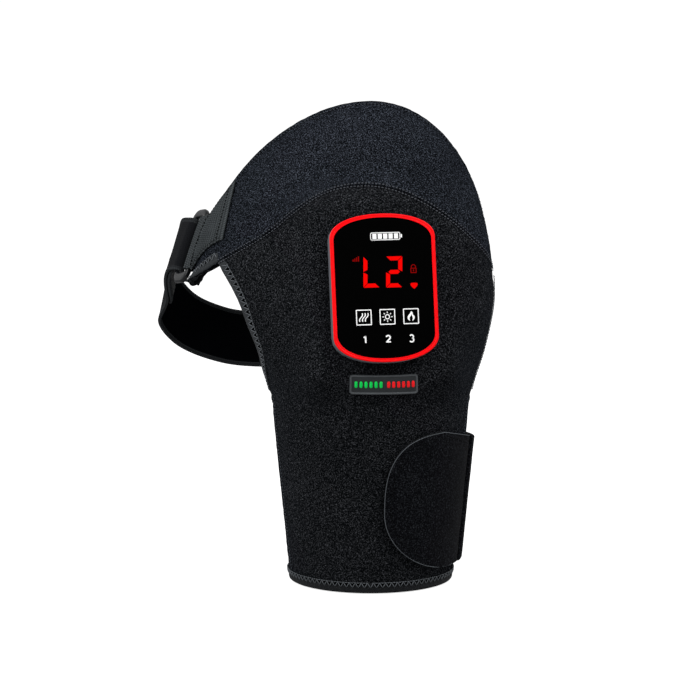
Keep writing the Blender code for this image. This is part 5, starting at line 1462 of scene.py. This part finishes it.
def make_flap(shades):
    """Wrap round the right side and the D flap over it: curved sheets with round edges, a light cut edge and
    a stitched row inside it, and the hook tape behind the flap. Faces
    move along their normal by soft unevenness less the round edge less the row's dip."""
    cloth, thread_shade, edge_shade, hooks = shades
    start, stop = CLOSURE_TURN_SHARES
    part, rise = crowded(90, 0.7), crowded(70, 0.7)[:, None]
    height = CLOSURE_FOOT + (CLOSURE_HEIGHT - WRAP_FALL * np.sin(math.pi / 2 * part)) * rise
    turn = start + (stop - start) * part + 0 * rise
    outer, inner = (sleeve_point(turn, height, proud) for proud in
                    (LAYER_CLEARANCE + CLOSURE_THICK, LAYER_CLEARANCE - 0.0003))
    normal = unit(outer - inner)
    roll = np.max([rolled(far, WRAP_ROUND) for far in edge_distances(outer)], axis=0)
    soft = 0.00025 * cloudy(outer, 0.012) + 0.00008 * cloudy(outer, 0.0012)
    points, faces, _ = closed_sheet(outer + (soft - roll)[..., None] * normal, inner + WRAP_LIFT * normal)
    wrap = outward(piece("closure_band", "brace", cloth, points, faces, slot="flap"))
    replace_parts(wrap, "closure_wrap")

    back = 2 * LAYER_CLEARANCE + HOOK_THICK
    grid = flap_grid(0.0, back + FLAP_THICK, FLAP_ROWS, FLAP_COLUMNS)
    behind = flap_grid(0.0, back, FLAP_ROWS, FLAP_COLUMNS)
    normal = unit(grid - behind + 1e-9)
    reach = np.min(edge_distances(grid)[:1] + edge_distances(grid)[2:], axis=0)
    roll = rolled(reach, FLAP_EDGE)
    dip = FLAP_DIP[0] * np.exp(-((reach - FLAP_ROW) / FLAP_DIP[1]) ** 2)
    soft = 0.00035 * cloudy(grid, 0.016) + 0.00006 * cloudy(grid, 0.0011)
    points, faces, _ = closed_sheet(grid + (soft - roll - dip)[..., None] * normal,
                                    behind + soft[..., None] * normal)
    flap = outward(piece("flap_cloth", None, cloth, points, faces, slot="flap"))
    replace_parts(flap, "arm_flap")
    root, inside = (sleeve_point(turn_share, CLOSURE_FOOT + CLOSURE_HEIGHT / 2, back + FLAP_THICK)
                    for turn_share in (start, start - SOFT_BEND))
    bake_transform(flap)

    line, line_back = (free_rim(flap_grid(FLAP_ROW, back + FLAP_THICK * side, FLAP_ROWS, FLAP_COLUMNS))[4:-4]
                       for side in (1, 0))
    out = unit(line - line_back)
    row = gather([stitch_row(line, out, *FLAP_STITCH)])
    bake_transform(piece("flap_row", None, thread_shade, *row, slot="flap"))
    rim = free_rim(flap_grid(0.0002, back + FLAP_THICK * 0.95, FLAP_ROWS, FLAP_COLUMNS))
    out = unit(rim - free_rim(flap_grid(0.0002, back, FLAP_ROWS, FLAP_COLUMNS)))
    edging = gather([thread(rim, out, *FLAP_RIM, round_ends=False)])
    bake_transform(piece("flap_edging", None, edge_shade, *edging, slot="flap"))

    hook_front, hook_back = (flap_grid(HOOK_MARGIN, proud, *HOOK_GRID) for proud in
                             (LAYER_CLEARANCE + HOOK_THICK, LAYER_CLEARANCE))
    points, faces, _ = closed_sheet(hook_front, hook_back)
    hook = outward(piece("hook_patch", "flap", hooks, points, faces, slot="hook"))
    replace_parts(hook, "flap_hook")


# Strap, tab and buckle

EDGING_WIDE = 0.0028
STRAP_BEAD, TAIL_BEAD = 0.00018, 0.00012


def sheet_section(width, thickness, edge, bead, steps=40):
    """Closed section of a tape: offsets across it and out of it, thicker by a bead within an edge's width."""
    across, out = boxy_loop(2 * steps, 0.12)
    offset = across * width / 2
    bead_share = eased(width / 2 - edge - 0.0003, width / 2 - edge + 0.0002, np.abs(offset))
    return offset, out * (thickness / 2 + bead * bead_share), bead_share


def carried_tape(name, body, shades, centres, directions, section, widths, slot):
    """Tape carried along a line of centres: each station lays the section across its direction and square to
    its heading; the map runs in metres across and along."""
    offset, out, bead_share = section
    heading = unit(np.gradient(centres, axis=0))
    directions = unit(directions)
    outside = unit(np.cross(directions, heading))
    points = (centres[:, None] + (widths[:, None] * offset)[..., None] * directions[:, None]
              + out[None, :, None] * outside[:, None])
    walked = run_of(centres[None], 1)[0]
    uv = np.stack((offset + 0 * walked[:, None], walked[:, None] + 0 * offset), axis=-1)
    rows, columns = points.shape[:2]
    faces = gather([(points, ring_faces(rows, columns))])[1]
    side = np.where(bead_share > 0.5, 1, np.where(out > 0, 2, 0))
    marks = np.concatenate((np.tile(side, rows - 1), (0, 0)))
    item = piece(name, body, shades, points, faces, uv=uv, marks=marks, slot=slot)
    return outward(item)


def strap_stations(query):
    """Centres and cross directions of the strap at shares of its route, worked out together."""
    places, points = strap_route()
    centre = smooth(places, points, query)
    heading = unit(smooth(places, points, query + 1e-3) - centre)
    end = sewn_rows(np.array((-0.5, 0.5)) * STRAP_WIDTH)[0]
    early = np.clip(query * 3, 0, 1)[:, None]
    late = np.clip(query * 4 - 3, 0, 1)[:, None]
    direction = (BUCKLE[:3, 2] * (1 - early) + np.array((0, 0, 1.0)) * early * (1 - late)
                 + unit(end[1] - end[0]) * late)
    along = np.sum(direction * heading, axis=-1, keepdims=True)
    return centre, unit(direction - STRAP_SQUARE_SHARE * along * heading)


def make_strap(shades):
    """Long strap: folded round the buckle's outer bar, led round behind, and sewn inside the right edge."""
    cloth, edging, face, hooks = shades
    fold = np.array(strap_fold(np.linspace(math.pi * 2 / 3, 0, 14)))
    centre, direction = strap_stations(np.linspace(0.01, 0.985, 150) ** STRAP_CROWDING)
    sewn = np.array(sewn_rows(np.array((-0.5, 0.0, 0.5)) * STRAP_WIDTH))
    centres = np.vstack((fold, centre, sewn[:, 1]))
    directions = np.vstack((np.tile(BUCKLE[:3, 2], (len(fold), 1)), direction, sewn[:, 2] - sewn[:, 0]))
    section = sheet_section(STRAP_WIDTH, STRAP_THICK * 0.9, EDGING_WIDE, STRAP_BEAD)
    item = carried_tape("strap_cloth", "brace", (cloth, edging, face), centres, directions, section,
                        np.ones(len(centres)), "strap")
    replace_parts(item, "shoulder_strap")

    places = (np.linspace(0, 1, STRAP_STEPS) ** STRAP_CROWDING)[TAIL_START_STEP:TAIL_END_STEP + 1]
    fine = np.linspace(places[0], places[-1] - 1e-4, 70)
    centre, direction = strap_stations(fine)
    heading = unit(np.gradient(centre, axis=0))
    inset = STRAP_THICK / 2 + LAYER_CLEARANCE + TAIL_THICK / 2
    centre = centre - inset * unit(np.cross(direction, heading))
    past = np.clip(1 - (places[-1] - fine) / (places[-1] - places[-TAIL_ROUND_STEPS]), 0, 1)
    widths = 1 - 2 * TAIL_END_CORNER * (1 - np.sqrt(1 - past * past)) / STRAP_WIDTH
    section = sheet_section(STRAP_WIDTH, TAIL_THICK * 0.9, EDGING_WIDE, TAIL_BEAD)
    tail = carried_tape("tail_cloth", None, (hooks, edging, face), centre, direction, section, widths, "hook")
    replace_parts(tail, "strap_tail")
    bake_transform(tail)


TAB_RIB = 0.0031
TAB_RIB_RISE = 0.00030
TAB_ROUND = 0.0005
TAB_EDGE_STITCH = (0.0024, 0.0014, 0.00060, 0.00040)
TAB_CROSS_STITCH = (0.0024, 0.0015, 0.00100, 0.00060)


def make_tab(shades):
    """Webbing tab: sewn on the wing, round the buckle's inner bar and back inside the wing, with broad ribs,
    and rows of stitches along both edges and across both ends of its outer side."""
    webbing, thread_shade = shades
    station = np.linspace(-0.5, 0.5, 61)
    across = TAB_PLACE_SHARE + along_share(TAB_PLACE_SHARE, 1.0, STRAP_WIDTH) * station
    ends = smooth((-0.5, 0.5), TAB_END_SHARES, station)
    proud = LAYER_CLEARANCE + TAB_THICK / 2
    radius = BUCKLE_BAR / 2 + FOLD_SLACK + TAB_THICK / 2
    part = np.linspace(1, 0, 60)[:, None]

    def laid(part, depth):
        return at_depth(across + (ends[:, 0] - across) * part ** TAB_BOW, 1 + (ends[:, 1] - 1) * part, depth)

    outer = laid(part, -proud)
    turn = np.linspace(math.pi / 6, math.pi * 5 / 6, 24)
    fold = np.array([from_buckle(radius * math.sin(a), radius * math.cos(a), 0) for a in turn])
    fold = fold[:, None] + (station * STRAP_WIDTH)[:, None] * BUCKLE[:3, 2]
    inner = laid(np.linspace(0, 1, 30)[:, None] * TAB_INNER_SHARE, WALL + proud)
    middle = np.concatenate((outer, fold, inner))
    walked = run_of(middle, 0)
    normal = unit(np.cross(np.gradient(middle, axis=1), np.gradient(middle, axis=0)))
    away = np.minimum(np.abs(station + 0.5), np.abs(station - 0.5)) * STRAP_WIDTH
    rib = TAB_RIB_RISE * np.cos(2 * math.pi * walked / TAB_RIB + 1.5 * station) * np.clip(away / 0.003, 0, 1)
    round_edge = rolled(away, TAB_ROUND)
    end_round = rolled(np.minimum(walked, walked[-1:] - walked), TAB_ROUND)
    half = TAB_THICK / 2 - np.maximum(round_edge, end_round) * 0.98
    points, faces, _ = closed_sheet(middle + (half + rib)[..., None] * normal,
                                    middle - half[..., None] * normal)
    flat = np.stack((walked, station * STRAP_WIDTH + 0 * walked), axis=-1)
    item = piece("tab_webbing", "brace", webbing, points, faces, uv=np.concatenate((flat, flat)),
                 slot="webbing")
    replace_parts(outward(item), "strap_tab")
    top = middle + (TAB_THICK / 2 + 0.00010) * normal
    # The rows' black thread is partly the thread's own colour and partly painted shade of the stitch holes
    # along them.
    rows = [stitch_row(top[1:58, column], normal[1:58, column], *TAB_EDGE_STITCH) for column in (3, 57)]
    rows += [stitch_row(top[row, 2:59], normal[row, 2:59], *TAB_CROSS_STITCH) for row in (4, 54)]
    piece("tab_rows", "brace", thread_shade, *gather(rows), slot="webbing")


BUCKLE_LOBE = 0.0045
BUCKLE_INNER_CORNER = 0.0024


def make_buckle(shade):
    """Moulded loop: a round section carried round a frame whose ends are wider than its bars; the lower end
    reaches out further, by a lobe that grows towards its middle."""
    window = STRAP_WIDTH + 2 * LAYER_CLEARANCE
    length, width = window + 2 * BUCKLE_END, BAR_SPACING + BUCKLE_BAR
    outer = np.array(rounded_box(width, length, BUCKLE_CORNER, BAR_SPACING / 2, 0, 14))
    outer[:, 1] -= BUCKLE_LOBE * np.clip(-outer[:, 1] / window * 2 - 0.9, 0, 1)
    inner = np.array(rounded_box(BAR_SPACING - BUCKLE_BAR, window, BUCKLE_INNER_CORNER, BAR_SPACING / 2, 0,
                                 14))
    middle, reach = (outer + inner) / 2, (outer - inner) / 2
    wide, deep = boxy_loop(24, 0.62)
    face = middle[:, None] + wide[:, None] * reach[:, None]
    points = (BUCKLE[:3, 3] + face[..., :1] * BUCKLE[:3, 0] + face[..., 1:] * BUCKLE[:3, 2]
              + (deep * BUCKLE_THICK / 2)[:, None] * BUCKLE[:3, 1])
    faces = quads_of(*points.shape[:2], around=True, along=True).tolist()
    item = outward(piece("buckle_loop", "brace", shade, points, faces, slot="gloss"))
    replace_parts(item, "strap_buckle")


# Making

PILE, WEAVE, GRAIN = make_pile_group(), make_weave_group(), make_grain_group()


def fibres(name, ground, ends, tufts, shown, bump, reach, **constants):
    """Brushed or knitted cloth: ground and fibre ends as screen colours, tufts per metre, and their share."""
    values = {"Ground": tone(*ground), "Fibre ends": tone(*ends), "Tufts per metre": tufts,
              "Ends shown": shown}
    return finish(name, PILE, values, bump, reach, Specular_IOR_Level=0.0, **constants)


def moulded(name, base, grains, low, high, bump, reach, **constants):
    """Plastic, thread or metal: base as a screen colour, grains per metre, and its range of roughness."""
    values = {"Base": tone(*base), "Grains per metre": grains, "Gloss low": low, "Gloss high": high}
    return finish(name, GRAIN, values, bump, reach, **constants)


def woven(name, yarn, between, rib, pick, bump, reach, **constants):
    """Woven tape: yarn and the dark between as screen colours, and the widths of a rib and a pick."""
    values = {"Yarn": tone(*yarn), "Between": tone(*between), "Rib": rib, "Pick": pick}
    return finish(name, WEAVE, values, bump, reach, **constants)


nap = {"Sheen_Weight": 0.02, "Sheen_Roughness": 0.4, "Sheen_Tint": tone(170, 185, 210)}
fleece = fibres("brushed fleece", (4, 5, 6), (95, 97, 102), 1230.0, 0.92, 0.8, 0.0007, **nap)
cap_fleece = fibres("cap fleece", (4, 5, 6), (104, 111, 125), 1400.0, 0.92, 0.8, 0.0007, **nap)
# Darker fleece for the band along the rolled rims: painted shade.
edge_shade_fleece = fibres("fleece with painted edge shade", (3, 3, 4), (66, 68, 73), 1300.0, 0.7, 0.6, 0.0005)
lining_knit = fibres("lining knit", (12, 12, 14), (62, 65, 69), 1500.0, 0.6, 0.3, 0.0003)
tape_knit = fibres("overlock tape", (40, 42, 44), (88, 92, 95), 1500.0, 0.6, 0.5, 0.0004, Sheen_Weight=0.05)
hem_knit = fibres("hem tape", (22, 23, 25), (74, 77, 80), 1300.0, 0.7, 0.5, 0.0004, Sheen_Weight=0.05)
flap_knit = fibres("flap knit", (5, 5, 7), (74, 78, 84), 1050.0, 0.6, 0.6, 0.0005, Sheen_Weight=0.02,
                   Sheen_Roughness=0.5)

thread_dark, thread_seam, thread_faint, thread_black = (
    moulded(name, base, 4000.0, low, low + 0.15, 0.3, 0.0002, Specular_IOR_Level=specular)
    for name, base, low, specular in (
        ("sewing thread", (74, 78, 82), 0.55, 0.3), ("seam thread", (68, 71, 77), 0.6, 0.2),
        ("faint thread", (60, 64, 70), 0.6, 0.1), ("black thread", (9, 10, 11), 0.6, 0.05)))
# Near-black for stitch holes, the seam's gap and the overlock's openings: painted shade of these hollows.
painted_hole_shade = moulded("painted hole shade", (4, 4, 5), 3000.0, 0.9, 1.0, 0.1, 0.0001, Specular_IOR_Level=0.0)
cut_edge = moulded("cut edge", (70, 74, 78), 2500.0, 0.7, 0.85, 0.3, 0.0002, Specular_IOR_Level=0.2)

ring_red = moulded("red frame", (229, 5, 12), 5000.0, 0.28, 0.40, 0.05, 0.0001, Specular_IOR_Level=0.07)
panel_black = moulded("panel black", (1, 1, 1), 900.0, 0.03, 0.07, 0.0, 0.0001, Specular_IOR_Level=0.008)
housing_grey = moulded("housing grey", (92, 95, 100), 4000.0, 0.35, 0.5, 0.12, 0.0001, Specular_IOR_Level=0.3)
badge_rubber, badge_border = (
    moulded(name, base, 3500.0, 0.5, 0.65, 0.2, 0.0002, Specular_IOR_Level=0.15)
    for name, base in (("badge rubber", (36, 39, 41)), ("badge border", (70, 73, 76))))
pip_green, pip_red = (
    moulded(name, base, 3500.0, 0.35, 0.5, 0.1, 0.0001, Specular_IOR_Level=0.1)
    for name, base in (("green pip", (12, 196, 80)), ("red pip", (230, 26, 32))))
lit_red, faint_red = (
    moulded(name, base, 800.0, 0.4, 0.5, 0.0, 0.0001, Emission_Color=tone(*glow), Emission_Strength=strength,
            Specular_IOR_Level=0.0)
    for name, base, glow, strength in (("lit red", (40, 0, 0), (252, 8, 5), 0.95),
                                       ("faint red", (20, 0, 0), (150, 8, 6), 0.9)))
print_white = moulded("print white", (225, 225, 225), 3000.0, 0.4, 0.5, 0.05, 0.0001)
buckle_black = moulded("buckle black", (16, 17, 19), 1500.0, 0.16, 0.28, 0.03, 0.0001,
                       Specular_IOR_Level=0.18)

hook_nylon = woven("hook tape", (16, 17, 18), (3, 3, 3), 0.0011, 0.0011, 0.6, 0.0004, Specular_IOR_Level=0.35)
strap_face = woven("strap face", (21, 22, 24), (12, 13, 15), 0.0013, 0.0010, 0.3, 0.0003,
                   Specular_IOR_Level=0.0, Sheen_Weight=0.05)
strap_knit = woven("strap knit", (6, 7, 9), (1, 1, 2), 0.0013, 0.0010, 0.3, 0.0003, Specular_IOR_Level=0.0)
strap_edging = woven("strap edging", (40, 42, 44), (18, 19, 20), 0.0028, 0.0012, 0.5, 0.0003,
                     Specular_IOR_Level=0.05)
tab_weave = woven("tab webbing", (63, 67, 69), (12, 14, 15), 0.0031, 0.0016, 0.8, 0.0006,
                  Specular_IOR_Level=0.03)

make_walls(fleece, cap_fleece, edge_shade_fleece, lining_knit)
make_tapes((thread_dark, painted_hole_shade, tape_knit))
make_hem((thread_dark, painted_hole_shade, hem_knit))
make_seams((thread_seam, painted_hole_shade), (thread_faint, painted_hole_shade))
make_frame_ring((ring_red, housing_grey, panel_black))
make_display(lit_red, faint_red)
make_prints(print_white)
make_badge_piece(badge_rubber, badge_border, (pip_green, pip_red))
make_flap((flap_knit, thread_black, cut_edge, hook_nylon))
make_strap((strap_knit, strap_edging, strap_face, hook_nylon))
make_tab((tab_weave, thread_black))
make_buckle(buckle_black)

# Pieces inside, kept as they were modelled

steel = moulded("bright steel", (176, 178, 181), 6000.0, 0.22, 0.38, 0.05, 0.0001, Metallic=1.0)
cell_foil = moulded("pouch foil", (150, 153, 158), 700.0, 0.35, 0.6, 0.4, 0.0003, Metallic=0.8)
board_green = moulded("board lacquer", (14, 66, 38), 1200.0, 0.25, 0.4, 0.1, 0.0001, Specular_IOR_Level=0.4)
pad_film = woven("heating film", (58, 44, 36), (24, 18, 15), 0.004, 0.004, 0.3, 0.0003,
                 Specular_IOR_Level=0.3)
lead_rubber = moulded("lead rubber", (150, 22, 18), 3000.0, 0.45, 0.6, 0.1, 0.0001, Specular_IOR_Level=0.3)
pale_plastic = moulded("pale plastic", (205, 202, 190), 4000.0, 0.4, 0.55, 0.15, 0.0001,
                       Specular_IOR_Level=0.3)
KEPT = {
    panel_black: ("front_lens", "massage_key", "level_key", "heat_key", "display_module"),
    housing_grey: ("rear_housing", "clamp_plate"),
    steel: ("charging_socket", "clamp_screw_1", "clamp_screw_2", "clamp_screw_3", "clamp_screw_4",
            "vibration_motor_1", "vibration_motor_2", "vibration_motor_3"),
    cell_foil: ("battery_cell",),
    board_green: ("circuit_board",),
    pad_film: ("heating_pad_lower", "heating_pad_upper"),
    lead_rubber: ("pad_lead", "motor_lead_1", "motor_lead_2"),
    pale_plastic: ("massage_switch", "level_switch", "heat_switch", "lead_plug"),
}
for shade, names in KEPT.items():
    for name in names:
        for slot in frame["nodes"][name].material_slots:
            slot.material = shade
